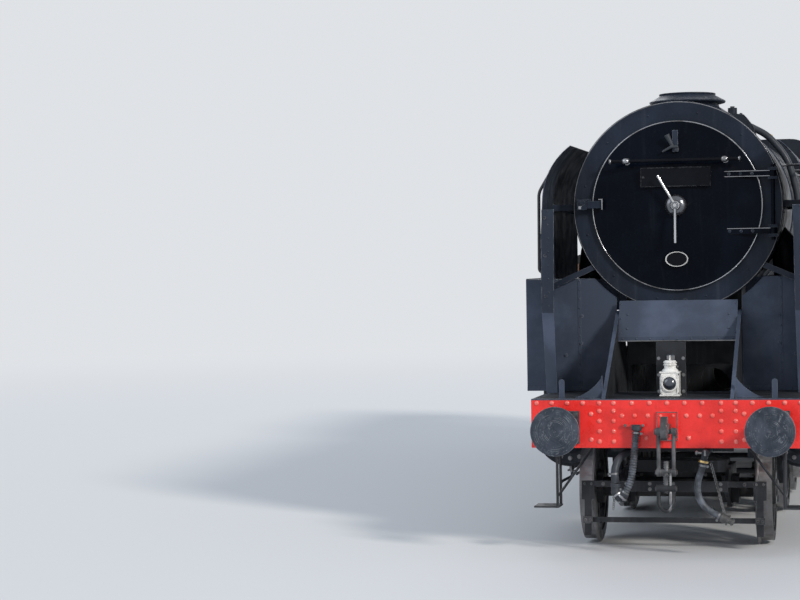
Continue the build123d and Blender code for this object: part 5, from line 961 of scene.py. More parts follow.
def buffer_details():
    """Bolts of the buffers' flanges and the rims of their stocks."""
    bolts = Form()
    spots = [(BUFFER_X + dx, BEAM_FACE_Y - 25, BUFFER_Z + dz) for dx in (-108, 108) for dz in (-108, 108)]
    bolts.bolts(spots, FORWARD, 19, 18)
    bolts.both_sides()
    bolts.done("buffer_flange_bolts", "buffer_black", "locomotive", finish=FINISHES["worn_steel"])
    rims = Form()
    rims.turned([(112, 212), (112, 232), (106, 238), (96, 238), (96, 212)], (BUFFER_X, 0, BUFFER_Z),
                BACKWARD, 64, closed=True)
    rims.both_sides()
    rims.done("buffer_stock_rims", "buffer_black", "locomotive", smooth=30, finish=FINISHES["buffer_stock"])


# Platform, casing and deflectors

DEFLECTOR_X = 1138.0
DEFLECTOR_POST_Y = 1150.0
DEFLECTOR_TOP_Z = 3000.0
DECK_END_Y = 1690
APRON_X = 519.0
SHEET_FACE_Y = 1700.0
SEAM_X = 885


def deck_details():
    """The deck's edge strips, its rivets and the joints of its middle plate."""
    z = PLATFORM_Z
    plates = Form()
    for x in (-1, 1):
        plates.block(x * 560, x * DEFLECTOR_X, 512, 530, z, z + 3)
        plates.block(x * 560, x * 572, 530, DECK_END_Y, z, z + 3)
    spots = [(side * x, y, z) for side in (-1, 1) for x in (620, 1100) for y in range(600, DECK_END_Y, 155)]
    plates.rivets(spots, UPWARD, 10, 0.5, 8)
    plates.bars([(-APRON_X, APRON_X, y, y + 6, z, z + 2) for y in (1020, 1480)])
    plates.done("deck_strips_and_rivets", "platform_black", "locomotive", smooth=50)


def gusset_edges():
    """The folded edge of each gusset on the deck."""
    lines = Form()
    for x in (-1, 1):
        lines.bars([(x * 551, x * 781, 636, 640, PLATFORM_Z, 1302), (x * 551, x * 563, 636, 640, 1302, 1478)])
    lines.done("gusset_edges", "platform_black", "locomotive", bevel=1)


def lamp_bracket_details():
    """Bolts, clip and edge strips of the head lamp's bracket."""
    bracket = Form()
    bracket.bolts([(x, 900, z) for x in (-104, 104) for z in (1330, 1470, 1610)], FORWARD, 11, 10)
    bracket.block(-34, 34, 889, 892, 1600, 1634)
    bracket.bars([(x0, x1, 914, 918, PLATFORM_Z, 1750) for x0, x1 in ((-125, -113), (113, 125))])
    bracket.done("lamp_bracket_bolts", "platform_black", "locomotive", smooth=30,
                 finish=FINISHES["worn_steel"])


def front_sheet_details():
    """Seams, rivets and bolts of the upright front sheets."""
    y = SHEET_FACE_Y
    seams = Form()
    for x in (-SEAM_X, SEAM_X):
        seams.block(x - 14, x + 14, y - 4, y, PLATFORM_Z + 40, 2282)
    seams.bars([(x * 551, x * 1366, y - 5, y, PLATFORM_Z, PLATFORM_Z + 38) for x in (-1, 1)])
    seams.done("front_sheet_seams", "platform_black", "locomotive", bevel=1)
    heads = Form()
    for x in (-1, 1):
        heads.rivets([(x * SEAM_X, y - 4, z) for z in range(1370, 2280, 82)], FORWARD, 8, 0.5, 8)
        heads.rivets([(x * k, y - 5, PLATFORM_Z + 19) for k in range(600, 1350, 94)], FORWARD, 8, 0.5, 8)
    spots = [(side * x, y, z) for side in (-1, 1) for x, z in ((865, 1957), (872, 1714), (1010, 1610))]
    heads.bolts(spots, FORWARD, 13, 12)
    heads.done("front_sheet_rivets", "platform_black", "locomotive", smooth=50)


def apron_details():
    """Rivets, and the folded low edge of the sloping middle sheet, whose bright steel is a painted highlight
    along it.
    """
    low, top = Vector((0, 1500, 1775)), Vector((0, 1635, 2090))
    slope = top - low
    away = Vector((0, -slope.z, slope.y)).normalized()
    heads = Form()
    edge_spots = [low.lerp(top, t) + Vector((x, 0, 0)) for t in (0.1, 0.5, 0.9) for x in (-500, 500)]
    heads.rivets(edge_spots, away, 9, 0.5, 8)
    gusset_spots = [low.lerp(top, t) + Vector((x, 0, 0)) for x in (-442, 442) for t in (0.61, 0.22)]
    heads.rivets(gusset_spots, away, 12, 0.6)
    heads.rivets([(x, low.y, low.z - 20) for x in range(-480, 481, 120)], FORWARD, 9, 0.5, 8)
    heads.done("apron_rivets", "platform_black", "locomotive", smooth=50)
    # the lip is a real fold; its bright steel finish is a painted highlight
    lip = Form()
    lip.block(-APRON_X, APRON_X, low.y - 5, low.y, 1733, 1742)
    lip.done("apron_low_edge_highlight", "platform_black", "locomotive", bevel=1, finish=FINISHES["worn_steel"])


def deflector_details():
    """Flat edging with its rivets, bolts down the front post, and the feet of the rail."""
    x, post_y, top = DEFLECTOR_X, DEFLECTOR_POST_Y, DEFLECTOR_TOP_Z
    beads = Form()
    beads.bars([(x, x + 5, post_y + 2, post_y + 26, 2010, 2690), (x, x + 4, 1718, 3390, 2296, 2322),
                (x, x + 5, 3374, 3398, 2296, top), (x, x + 3, 1700, 3398, top - 16, top + 16)])
    beads.both_sides()
    beads.done("deflector_edging", "deflector_black", "locomotive", bevel=1)
    heads = Form()
    heads.rivets([(x + 3, y, top) for y in range(1760, 3390, 108)], LEFTWARD, 8, 0.5, 8)
    heads.rivets([(x + 4, y, 2309) for y in range(1760, 3390, 108)], LEFTWARD, 8, 0.5, 8)
    heads.rivets([(x + 5, post_y + 14, z) for z in range(2050, 2680, 86)], LEFTWARD, 8, 0.5, 8)
    heads.rivets([(x + 5, 3386, z) for z in range(2360, 2990, 88)], LEFTWARD, 8, 0.5, 8)
    heads.rivets([(x - 60, post_y, z) for z in range(2060, 2890, 118)], FORWARD, 8, 0.5, 8)
    heads.bolts([(x - 34, post_y, z) for z in (2147, 2500, 2830)], FORWARD, 13, 11)
    heads.bolts([(x - 6, y + 25, 2950) for y in (1800, 3000)], (-1, 0, 0), 12, 9)
    heads.both_sides()
    heads.done("deflector_rivets", "deflector_black", "locomotive", smooth=50)
    feet = Form()
    feet.turned([(14, 0), (34, 0), (34, 6), (22, 14), (14, 26)], (x, 1480, 2350), LEFTWARD, 24, closed=True)
    feet.both_sides()
    feet.done("deflector_rail_feet", "handrail_black", "locomotive", smooth=40)


# Coupling and hoses

def threads(form, a, b, r, pitch):
    """Rounded turns of a square thread from a to b."""
    a, b = Vector(a), Vector(b)
    count = int((b - a).length / pitch)
    for i in range(count):
        form.turned([(r - 6, -pitch * 0.27), (r, -pitch * 0.2), (r, pitch * 0.2), (r - 6, pitch * 0.27)],
                    a.lerp(b, (i + 0.5) / count), b - a, 20, closed=True)


COUPLING_Y = 385.0
COUPLING_LOW_Z = 690.0
COUPLING_TOP_Z = BUFFER_Z - 28.0


def coupling_details():
    """The coupling's screw, its nuts and pins, and the bar that turns it."""
    low, top, y = COUPLING_LOW_Z, COUPLING_TOP_Z, COUPLING_Y
    screw = Form()
    threads(screw, (0, y - 3, low + 34), (0, y, low + 88), 26, 12)
    threads(screw, (0, y - 12, 664), (0, y - 22, 594), 26, 12)
    threads(screw, (0, y - 36, 526), (0, y - 40, 520), 26, 12)
    screw.done("coupling_screw_threads", "hook_steel", "locomotive", smooth=40, finish=FINISHES["worn_steel"])
    nuts = Form()
    for x in (-1, 1):
        nuts.rod((x * 78, y, top), (x * 96, y, top), 22, sides=6)
        nuts.rod((x * 79, y, top), (x * 84, y, top), 30, sides=24)
        nuts.rod((x * 80, y, low), (x * 92, y, low), 19, sides=6)
        nuts.rod((x * 88, y, top - 27), (x * 88, y, top + 27), 3.5, sides=8)
        nuts.rod((x * 80, y - 35, 560), (x * 90, y - 35, 560), 20, sides=6)
    nuts.turned([(22, -22), (34, -18), (36, 0), (34, 18), (22, 22)], (0, y, low), (0, -0.2, 1), 28,
                closed=True)
    nuts.done("coupling_nuts", "hook_steel", "locomotive", smooth=35)
    bar = Form()
    bar.turned([(0, 0), (12, 3), (19, 26), (18, 46), (11, 96), (10, 250), (0, 252)], (38, y - 45, 416),
               UPWARD, 24)
    bar.done("coupling_tommy_bar", "hook_steel", "locomotive", smooth=40, finish=FINISHES["rod_bright"])


def hook_pad_details():
    """The bright edge of the hook's pad and its two lower bolts."""
    y = HOOK_PAD_FACE_Y
    hook = Form()
    for x0, x1, z0, z1 in ((-88, 88, 1177, 1184), (-88, 88, 944, 951), (-88, -81, 951, 1177),
                           (81, 88, 951, 1177)):
        hook.block(x0, x1, y - 2, y + 2, z0, z1)
    hook.done("hook_pad_edge", "hook_steel", "locomotive", bevel=1, finish=FINISHES["worn_steel"])
    bolts = Form()
    bolts.bolts([(x, y, 976) for x in (-62, 62)], FORWARD, 15, 12)
    bolts.done("hook_pad_bolts", "beam_red", "locomotive", finish=FINISHES["worn_steel"])


def beyond(a, b, distance):
    """The point at a distance past b, seen from a."""
    a, b = Vector(a), Vector(b)
    return b + (b - a).normalized() * distance


def clip(form, place, ahead, r, width=16.0):
    """A hose clip: a band with its lug and bolt."""
    place, ahead = Vector(place), Vector(ahead).normalized()
    form.turned([(r, -width / 2), (r + 4, -width / 2), (r + 4, width / 2), (r, width / 2)], place, ahead, 32,
                closed=True)
    side = ahead.cross(Vector((0, 1, 0))).normalized()
    lug = place + side * (r + 12)
    form.rod(lug - Vector((0, 14, 0)), lug + Vector((0, 14, 0)), 5, sides=8)
    form.rod(lug - Vector((0, 9, 0)), lug - Vector((0, 5, 0)), 11, sides=12)
    form.rod(lug + Vector((0, 5, 0)), lug + Vector((0, 9, 0)), 11, sides=12)


def hose_clips():
    """Clips at the hoses' ends and on the vacuum pipe, and the bolts of the pipe's tab."""
    bands = Form()
    first, second = Vector(VACUUM_ROUTE[0]), Vector(VACUUM_ROUTE[1])
    clip(bands, first.lerp(second, 0.10), second - first, VACUUM_HOSE_R)
    last, before = Vector(VACUUM_ROUTE[-1]), Vector(VACUUM_ROUTE[-2])
    clip(bands, last.lerp(before, 0.28), before - last, VACUUM_HOSE_R)
    top, below = Vector(STEAM_ROUTE[0]), Vector(STEAM_ROUTE[1])
    clip(bands, top.lerp(below, 0.35), below - top, STEAM_HOSE_R)
    tip, back = Vector(STEAM_ROUTE[-1]), Vector(STEAM_ROUTE[-2])
    clip(bands, tip.lerp(back, 0.25), back - tip, STEAM_HOSE_R)
    clip(bands, (-438, 437, 672), (-0.1, 0.03, 1), VACUUM_HOSE_R)
    bands.bolts([(x, 470, 1072) for x in (-345, -200)], FORWARD, 9, 9)
    bands.done("hose_clips", "pipe_black", "locomotive", smooth=40, finish=FINISHES["worn_steel"])


def vacuum_coupling_heads():
    """Two lugged rings that hook together where the hose meets the end of its pipe."""
    heads = Form()
    heads.turned([(34, -9), (48, -9), (50, -4), (50, 4), (48, 9), (34, 9)], (-376, 425, 483),
                 (-0.68, 0, -0.74), 36, closed=True)
    heads.turned([(34, -8), (47, -8), (49, 0), (47, 8), (34, 8)], (-416, 425, 500),
                 (-0.6, 0, 0.8), 36, closed=True)
    heads.rod((-350, 408, 470), (-400, 408, 438), 8, sides=10)
    heads.rod((-398, 444, 520), (-440, 444, 482), 8, sides=10)
    heads.done("vacuum_coupling_heads", "pipe_black", "locomotive", smooth=40, finish=FINISHES["bead_steel"])


def steam_valve():
    """The steam valve's brass collar, and its spindle with the handle."""
    top, below = Vector(STEAM_ROUTE[0]), Vector(STEAM_ROUTE[1])
    collar, body = beyond(below, top, 14), beyond(below, top, 82)
    valve = Form()
    valve.turned([(30, -9), (43, -8), (43, 8), (30, 9)], collar, top - below, 32, closed=True)
    valve.done("steam_valve_collar", "pipe_black", "locomotive", smooth=20, finish=FINISHES["brass"])
    spindle = Form()
    spindle.rod(body, body + Vector((-62, -12, 6)), 11, 9)
    knob = [(0, -14), (12, -12), (18, -4), (18, 4), (12, 12), (0, 14)]
    spindle.turned(knob, body + Vector((-70, -13, 7)), LEFTWARD, 24)
    spindle.rod(body + Vector((0, -46, -16)), body + Vector((0, -46, 30)), 10, 7, sides=20)
    spindle.done("steam_valve_handle", "pipe_black", "locomotive", smooth=35, finish=FINISHES["worn_steel"])


def hose_chains():
    """The steam coupler's chain, and a short one that hangs from the vacuum coupling's heads."""
    chain = Form()
    chain.chain((472, 440, 330), (364, 440, 757), 12, 2.6)
    chain.done("steam_coupler_chain", "coupler_iron", "locomotive", smooth=50, finish=FINISHES["worn_steel"])
    chain = Form()
    chain.chain((-440, 440, 470), (-452, 440, 372), 11, 3.0)
    chain.done("dummy_chain", "pipe_black", "locomotive", smooth=50, finish=FINISHES["worn_steel"])


def steam_coupler_lugs():
    """Collars and cross lugs of the coupler at the steam hose's end."""
    coupler = Form()
    tip, neck = Vector(STEAM_ROUTE[-1]), beyond(STEAM_ROUTE[-2], STEAM_ROUTE[-1], 60)
    ahead = neck - tip
    coupler.turned([(36, -5), (46, -5), (46, 8), (36, 8)], neck, ahead, 32, closed=True)
    coupler.turned([(24, 0), (31, 0), (31, 12), (24, 12)], beyond(tip, neck, 34), ahead, 28, closed=True)
    coupler.rod(neck + Vector((0, -52, 0)), neck + Vector((0, 52, 0)), 8, sides=12)
    coupler.done("steam_coupler_lugs", "coupler_iron", "locomotive", smooth=35)


# Smokebox and boiler

SHELL_R = 905.0
DOME_Y = 6100.0
FEED_Y = 4520.0
VALVES_Y = 9000.0
HANDRAIL_Z = BOILER_Z + 440.0
BARREL_FRONT_Y, BARREL_LENGTH = 3900.0, 4650.0
BARREL_R, BARREL_GROWTH = 892.0, 40.0
FIREBOX_FRONT_Y, FIREBOX_LENGTH = 8550.0, 2270.0
FIREBOX_HALF, FIREBOX_NARROWS = 975.0, 35.0
FIREBOX_RISE, FIREBOX_FALLS = 929.0, 110.0


def barrel_r(y):
    """Radius of the boiler's cladding at y."""
    return BARREL_R + BARREL_GROWTH * (y - BARREL_FRONT_Y) / BARREL_LENGTH


def barrel_x(y, rise):
    """X of the cladding at y, and rise above the boiler's axis."""
    return sqrt(barrel_r(y) ** 2 - rise ** 2)


def firebox_half(y):
    """Half of the firebox's width at y."""
    return FIREBOX_HALF - FIREBOX_NARROWS * (y - FIREBOX_FRONT_Y) / FIREBOX_LENGTH


def firebox_top(y):
    """Height of the firebox's top at y."""
    return BOILER_Z + FIREBOX_RISE - FIREBOX_FALLS * (y - FIREBOX_FRONT_Y) / FIREBOX_LENGTH


def smokebox_details():
    """Rivets and joint bands round the shell, the bolts of the chimney's base and its lip."""
    heads = Form()
    angles = [radians(-48 + 6 * i) for i in range(47)]
    for y in (1722, 2220, 3840):
        for a in angles:
            out = Vector((cos(a), 0, sin(a)))
            heads.rivets([Vector((0, y, BOILER_Z)) + out * SHELL_R], out, 11, 0.55, 6)
    heads.done("smokebox_rivets", "smokebox_black", "locomotive", smooth=60)
    lap = Form()
    for y, half, thickness in ((2220, 32, 4), (3870, 26, 9)):
        inner, outer = SHELL_R - 1, SHELL_R + thickness
        lap.turned([(inner, -half), (outer, -half), (outer, half), (inner, half)], (0, y, BOILER_Z),
                   BACKWARD, 96, closed=True)
    lap.done("smokebox_joint_bands", "smokebox_black", "locomotive", smooth=30)
    studs = Form()
    for a in turns(10, 0.5):
        x, y = 400 * cos(a), CHIMNEY_Y + 400 * sin(a)
        rise = sqrt(SHELL_R ** 2 - x ** 2)
        studs.bolts([(x, y, BOILER_Z + rise + 4)], (x, 0, rise), 13, 12)
    studs.done("chimney_base_bolts", "smokebox_black", "locomotive", smooth=30)
    rim = Form()
    rim.turned([(250, -12), (262, -10), (260, -2), (240, -1), (222, -6), (222, -12)],
               (0, CHIMNEY_Y, HEIGHT), UPWARD, 96, closed=True)
    rim.done("chimney_lip", "smokebox_black", "locomotive", smooth=40)


def boiler_bands():
    """Cladding bands round the barrel, two of them with a clamp below."""
    bands = Form()
    for y in (3925, 4700, 5500, 6600, 7500, 8515):
        r = barrel_r(y)
        bands.turned([(r - 2, -24), (r + 3, -22), (r + 3, 22), (r - 2, 24)], (0, y, BOILER_Z), BACKWARD, 128,
                     closed=True)
    for y in (5500, 7500):
        r = barrel_r(y) + 3
        bands.block(-20, 20, y - 16, y + 16, BOILER_Z - r - 12, BOILER_Z - r + 4)
    bands.done("boiler_bands", "boiler_black", "locomotive", smooth=30)


def washout_plugs():
    plugs = Form()
    for side in (-1, 1):
        for y in (8750, 9250, 9750):
            x, z = firebox_half(y) - 86, firebox_top(y) - 92
            out = Vector((side, 0, 1.05)).normalized()
            spot = Vector((side * (x + 3), y, z + 8))
            plugs.turned([(30, -6), (62, -6), (62, 8), (48, 14), (30, 14)], spot, out, 32, closed=True)
            plugs.rod(spot - out * 4, spot + out * 26, 26, sides=6)
    plugs.done("washout_plugs", "boiler_black", "locomotive", smooth=35)


def mudhole_doors():
    low = Form()
    for side in (-1, 1):
        for y in (8800, 9500, 10100):
            x, z = firebox_half(y) - 40, 2050
            spot = Vector((side * x, y, z))
            out = Vector((side, 0, -0.1)).normalized()
            low.turned([(0, 0), (70, 0), (74, 8), (66, 18), (30, 24), (0, 24)], spot, out, 40)
            low.rod(spot, spot + out * 44, 16, sides=6)
    low.done("mudhole_doors", "boiler_black", "locomotive", smooth=35)


def firebox_bands():
    joints = Form()
    for y in (8572, 9200, 9900):
        half, top = firebox_half(y), firebox_top(y)
        joints.block(-half + 285, half - 285, y - 18, y + 18, top - 2, top + 3)
        for side in (-1, 1):
            joints.block(side * (half - 3), side * (half + 3), y - 18, y + 18, 2505, top - 285)
    joints.done("firebox_bands", "boiler_black", "locomotive", bevel=1)


def dome_band():
    crown = Form()
    crown.turned([(300, -6), (306, -6), (306, 6), (300, 6)], (0, DOME_Y, BOILER_Z + 899), UPWARD, 96,
                 closed=True)
    crown.bolts([(0, DOME_Y, BOILER_Z + 1060)], UPWARD, 14, 4)
    crown.done("dome_band", "boiler_black", "locomotive", smooth=30)


def feed_pipes():
    """Bolts and plugs of the two top feeds, and a pipe from each down the barrel's side."""
    feeds = Form()
    # x and rise above the boiler's axis of the pipe's corners
    route = [(470, 850), (640, 760), (840, 520), (938, 120), (945, -260), (960, -600)]
    for side in (-1, 1):
        for y in (FEED_Y - 150, FEED_Y + 150):
            spots = [(side * 190, y, BOILER_Z + 995), (side * 390, y, BOILER_Z + 967)]
            feeds.bolts(spots, (side * 0.15, 0, 1), 13, 11)
        plug_x, plug_y = side * 300, FEED_Y - 60
        feeds.rod((plug_x, plug_y, BOILER_Z + 1034), (plug_x, plug_y, BOILER_Z + 1052), 24, sides=6)
        feeds.pipe([(side * x, FEED_Y, BOILER_Z + rise) for x, rise in route], 34, 160, 16)
    feeds.done("feed_pipes", "pipe_black", "locomotive", smooth=40)


def handrail_knobs():
    """Knobs and feet of the long handrails, and short sleeves on the boiler's sides."""
    z = HANDRAIL_Z
    knob = [(0, -30), (16, -28), (26, -16), (29, 0), (26, 16), (16, 28), (0, 30)]
    foot = [(0, -6), (34, -6), (34, 8), (16, 20), (12, 60), (0, 60)]
    knobs = Form()
    for y in (4200, 5650, 7100, 8400):
        knobs.turned(knob, (1040, y, z), BACKWARD, 20)
        knobs.turned(foot, (barrel_x(y, z - BOILER_Z) - 3, y, z), LEFTWARD, 20)
    for y in (5900, 7200, 8420):
        knobs.turned([(10, -30), (12, -30), (12, 30), (10, 30)], (960, y, BOILER_Z), LEFTWARD, 12,
                     closed=True)
    knobs.both_sides()
    knobs.done("handrail_knobs", "handrail_black", "locomotive", smooth=50, finish=FINISHES["worn_steel"])


def valve_nuts():
    """Nuts of the safety valves and the collar of the whistle."""
    y = VALVES_Y
    valves = Form()
    for x in (-150, 150):
        valves.rod((x, y, 3889), (x, y, 3896), 60, sides=6)
        valves.rod((x, y, 3966), (x, y, 3972), 26, sides=24)
        valves.bolts([(x, y, 3966)], UPWARD, 12, 12)
    valves.turned([(30, -3), (34, -3), (34, 4), (30, 4)], (420, 9260, 3912), UPWARD, 28, closed=True)
    valves.done("valve_nuts", "valve_brass", "locomotive", smooth=30, finish=FINISHES["brass"])


# Cylinders and motion

CYL_X = 1050.0
# an axle's height over the rail is the radius of its wheels' treads
AXLE_Z = 762.0
PONY_Y, PONY_AXLE_Z = 1510.0, 457.0
CRANK = 355.5
MAIN_TILT = atan2(1, 40)
VALVE_X, VALVE_RISE = 1085.0, 520.0
COUPLED_YS = [4101.0 + 1651.0 * n for n in range(5)]
MAIN_Y = COUPLED_YS[2]
MAIN_AXLE = 3
CYLINDER_SIDE_X = 1289.0
COCK_YS = (2230, 3170)
# for each side: its sign, its word, and its pins' offset from their axles along Y and Z
CRANKS = ((1, "left", 0.0, -CRANK), (-1, "right", CRANK, 0.0))


def on_axis(x, y, rise):
    """A place at y, and rise above the line through the cylinder and the main axle."""
    run = y - MAIN_Y
    back = run * cos(MAIN_TILT) + rise * sin(MAIN_TILT)
    return Vector((x, MAIN_Y + back, AXLE_Z - run * sin(MAIN_TILT) + rise * cos(MAIN_TILT)))


BORE_BACK = on_axis(0, 1, 0) - on_axis(0, 0, 0)
BORE_UP = on_axis(0, 0, 1) - on_axis(0, 0, 0)


def cover_studs(form, y, facing, x, rise, r, count, size=15):
    """Nuts in a circle on a cover."""
    spots = [on_axis(x + r * cos(a), y, rise + r * sin(a)) for a in turns(count, 0.5)]
    form.bolts(spots, BORE_BACK * facing, size, size)


def cylinder_cover_nuts():
    studs = Form()
    cover_studs(studs, 2120, -1, CYL_X, 0, 245, 18)
    cover_studs(studs, 2130, -1, VALVE_X, VALVE_RISE, 132, 10, 12)
    cover_studs(studs, 3278, 1, CYL_X, 0, 245, 14)
    cover_studs(studs, 3270, 1, VALVE_X, VALVE_RISE, 130, 8, 12)
    studs.both_sides()
    studs.done("cylinder_cover_nuts", "cylinder_black", "locomotive", smooth=30,
               finish=FINISHES["worn_steel"])


def cylinder_clothing():
    """Strips with their screws over the joints of the cylinders' sheets."""
    x = CYLINDER_SIDE_X
    trim = Form()
    for y in (2182, 2700, 3218):
        a, b = on_axis(x, y, 70), on_axis(x, y, VALVE_RISE - 10)
        trim.block(x - 1, x + 4, a.y - 16, a.y + 16, a.z, b.z)
        trim.bolts([Vector((x + 2, a.y, a.z + k)) for k in (40, 150, 260, 370)], LEFTWARD, 8, 6)
    trim.block(x - 1, x + 3, 2190, 3210, AXLE_Z + 320, AXLE_Z + 344)
    trim.both_sides()
    trim.done("cylinder_clothing_strips", "cylinder_black", "locomotive", bevel=1)


def cylinder_cocks():
    """Drain cocks under the cylinders' ends, with the rod that works them."""
    cocks = Form()
    for y in COCK_YS:
        top = on_axis(CYL_X, y, -318)
        cocks.rod(top + Vector((0, 0, 12)), top - Vector((0, 0, 34)), 26, sides=6)
        cocks.rod(top - Vector((0, 0, 30)), top - Vector((0, 0, 62)), 17, sides=16)
        cocks.rod(top + Vector((-40, 0, -46)), top + Vector((40, 0, -46)), 7, sides=10)
    a, b = on_axis(CYL_X + 34, COCK_YS[0], -364), on_axis(CYL_X + 34, 3560, -364)
    cocks.rod(a, b, 9, sides=12)
    cocks.both_sides()
    cocks.done("cylinder_cocks", "pipe_black", "locomotive", smooth=35, finish=FINISHES["worn_steel"])


def cylinder_drain_pipes():
    """A short pipe from each cock, led forward."""
    pipes = Form()
    for y, end_y in zip(COCK_YS, (1960, 2960)):
        top = on_axis(CYL_X, y, -376)
        pipes.pipe([top, top - Vector((0, 0, 40)), Vector((1100, top.y - 220, top.z - 60)),
                    Vector((1110, end_y, top.z - 70))], 13, 40, 10)
    pipes.both_sides()
    pipes.done("cylinder_drain_pipes", "pipe_black", "locomotive", smooth=40)


def relief_valves_and_glands():
    """A relief valve on each front cover, the valve chest's cap, and the piston rod's gland."""
    relief = Form()
    spot = on_axis(CYL_X, 2090, -150)
    relief.rod(spot + BORE_BACK * 4, spot - BORE_BACK * 55, 26, sides=20)
    relief.rod(spot - BORE_BACK * 50, spot - BORE_BACK * 66, 32, sides=6)
    relief.rod(spot - BORE_BACK * 64, spot - BORE_BACK * 84, 13, sides=12)
    tip = on_axis(VALVE_X, 2055, VALVE_RISE)
    relief.turned([(0, 10), (20, 8), (34, 0), (34, -4), (0, -4)], tip, -BORE_BACK, 24)
    gland = on_axis(CYL_X, 3322, 0)
    relief.turned([(47, -24), (74, -24), (74, -6), (64, 0), (47, 0)], gland, BORE_BACK, 32, closed=True)
    for k in (-60, 60):
        stud = gland + Vector((k, 0, 0))
        relief.rod(stud - BORE_BACK * 30, stud + BORE_BACK * 24, 9, sides=6)
    relief.both_sides()
    relief.done("relief_valves_and_glands", "cylinder_black", "locomotive", smooth=35,
                finish=FINISHES["worn_steel"])


def side_rod_cups():
    """An oil cup on each boss of the side rods."""
    for side, word, dy, dz in CRANKS:
        cups = Form()
        for n, y in enumerate(COUPLED_YS, 1):
            top = Vector((side * 904, y + dy, AXLE_Z + dz + (132 if n == MAIN_AXLE else 116)))
            cups.rod(top - Vector((0, 0, 8)), top + Vector((0, 0, 34)), 20, sides=20)
            cups.rod(top + Vector((0, 0, 32)), top + Vector((0, 0, 44)), 13, sides=6)
        cups.done(f"side_rod_oil_cups_{word}", "motion_steel", BODY_OF[f"side_rod_{word}"], smooth=35,
                  finish=FINISHES["rod_bright"])


def around(spot, r, angles):
    """Places on a circle round a spot, as seen from the engine's side."""
    return [spot + Vector((0, r * cos(a), r * sin(a))) for a in angles]


def crank_pin_caps():
    """Caps with three bolts on the pins, except on the main pins, which carry the connecting rods."""
    for n, y in enumerate(COUPLED_YS, 1):
        if n == MAIN_AXLE:
            continue
        caps = Form()
        for side, word, dy, dz in CRANKS:
            out = Vector((side, 0, 0))
            spot = Vector((side * (931 if n == 1 else 944), y + dy, AXLE_Z + dz))
            caps.turned([(0, 10), (34, 10), (40, 4), (40, -6), (0, -6)], spot + out * 6, out, 32)
            caps.bolts(around(spot + out * 8, 62, (0.5, 2.6, 4.7)), out, 9, 7)
        caps.done(f"crank_pin_caps_{n}", "motion_steel", BODY_OF[f"coupled_wheelset_{n}"], smooth=35,
                  finish=FINISHES["rod_bright"])


def big_end_details():
    """An oil cup and four bolts on each connecting rod's big end."""
    heads = Form()
    for side, word, dy, dz in CRANKS:
        y, z = MAIN_Y + dy, AXLE_Z + dz
        out = Vector((side, 0, 0))
        centre = Vector((side * 1101, y, z))
        top = Vector((side * CYL_X, y, z + 150))
        heads.rod(top - Vector((0, 0, 10)), top + Vector((0, 0, 40)), 24, sides=20)
        heads.rod(top + Vector((0, 0, 38)), top + Vector((0, 0, 52)), 15, sides=6)
        heads.bolts(around(centre, 108, (0.8, 2.35, 3.93, 5.5)), out, 13, 9)
    heads.done("big_end_cup_and_bolts", "motion_steel", "locomotive", smooth=35,
               finish=FINISHES["rod_bright"])


def bar_and_bracket_bolts():
    """Bolts of the slide bars and of the motion brackets, and a pin's cap at the valve gear."""
    heads = Form()
    for y in (3345, 4765):
        for x in (1010, 1090):
            heads.bolts([on_axis(x, y, 236)], BORE_UP, 16, 16)
    heads.bolts([Vector((x, 4798, 1476)) for x in (640, 760, 880, 1180, 1260)], FORWARD, 14, 12)
    heads.bolts([Vector((1300, y, 1290 + k)) for y in (4900, 5110) for k in (-44, 44)], LEFTWARD, 13, 10)
    heads.turned([(0, 10), (40, 10), (46, 2), (46, -4), (0, -4)], (1300, 5080, 1290), LEFTWARD, 32)
    heads.both_sides()
    heads.done("bar_and_bracket_bolts", "motion_steel", "locomotive", smooth=30,
               finish=FINISHES["worn_steel"])


# Wheels, springs and brakes

def tyre_details(form, centre, ring_r, sides, rivets_at_r, rivet_count, rivet_r):
    """A shrink ring of the wheel at a centre, and the rivets that hold its tyre."""
    section = [(ring_r - 4, -3), (ring_r + 4, -3), (ring_r + 4, 3), (ring_r - 4, 3)]
    form.turned(section, centre, LEFTWARD, sides, closed=True)
    spots = around(centre - Vector((12, 0, 0)), rivets_at_r, turns(rivet_count))
    form.rivets(spots, LEFTWARD, rivet_r, 0.5, 8)


def wheel_details():
    """A cap on each axle's end, and the ring and rivets of each tyre."""
    for n, y in enumerate(COUPLED_YS, 1):
        caps = Form()
        caps.turned([(0, 14), (60, 14), (84, 8), (92, 0), (92, -8), (0, -8)], (846, y, AXLE_Z), LEFTWARD, 48)
        caps.rivets(around(Vector((853, y, AXLE_Z)), 72, (0, 1.57, 3.14, 4.71)), LEFTWARD, 9, 0.5, 8)
        tyre_details(caps, Vector((820, y, AXLE_Z)), 688, 96, 662, 16, 13)
        caps.both_sides()
        caps.done(f"coupled_wheel_caps_{n}", "wheel_black", BODY_OF[f"coupled_wheelset_{n}"], smooth=35)
    caps = Form()
    caps.turned([(0, 12), (50, 12), (66, 8), (74, 0), (74, -8), (0, -8)], (846, PONY_Y, PONY_AXLE_Z),
                LEFTWARD, 40)
    tyre_details(caps, Vector((820, PONY_Y, PONY_AXLE_Z)), 383, 72, 354, 10, 12)
    caps.both_sides()
    caps.done("pony_wheel_caps", "wheel_black", BODY_OF["pony_wheelset"], smooth=35)


FRAME_FACE_X = 551.0
SPRING_X, SPRING_HALF = 535.0, 440


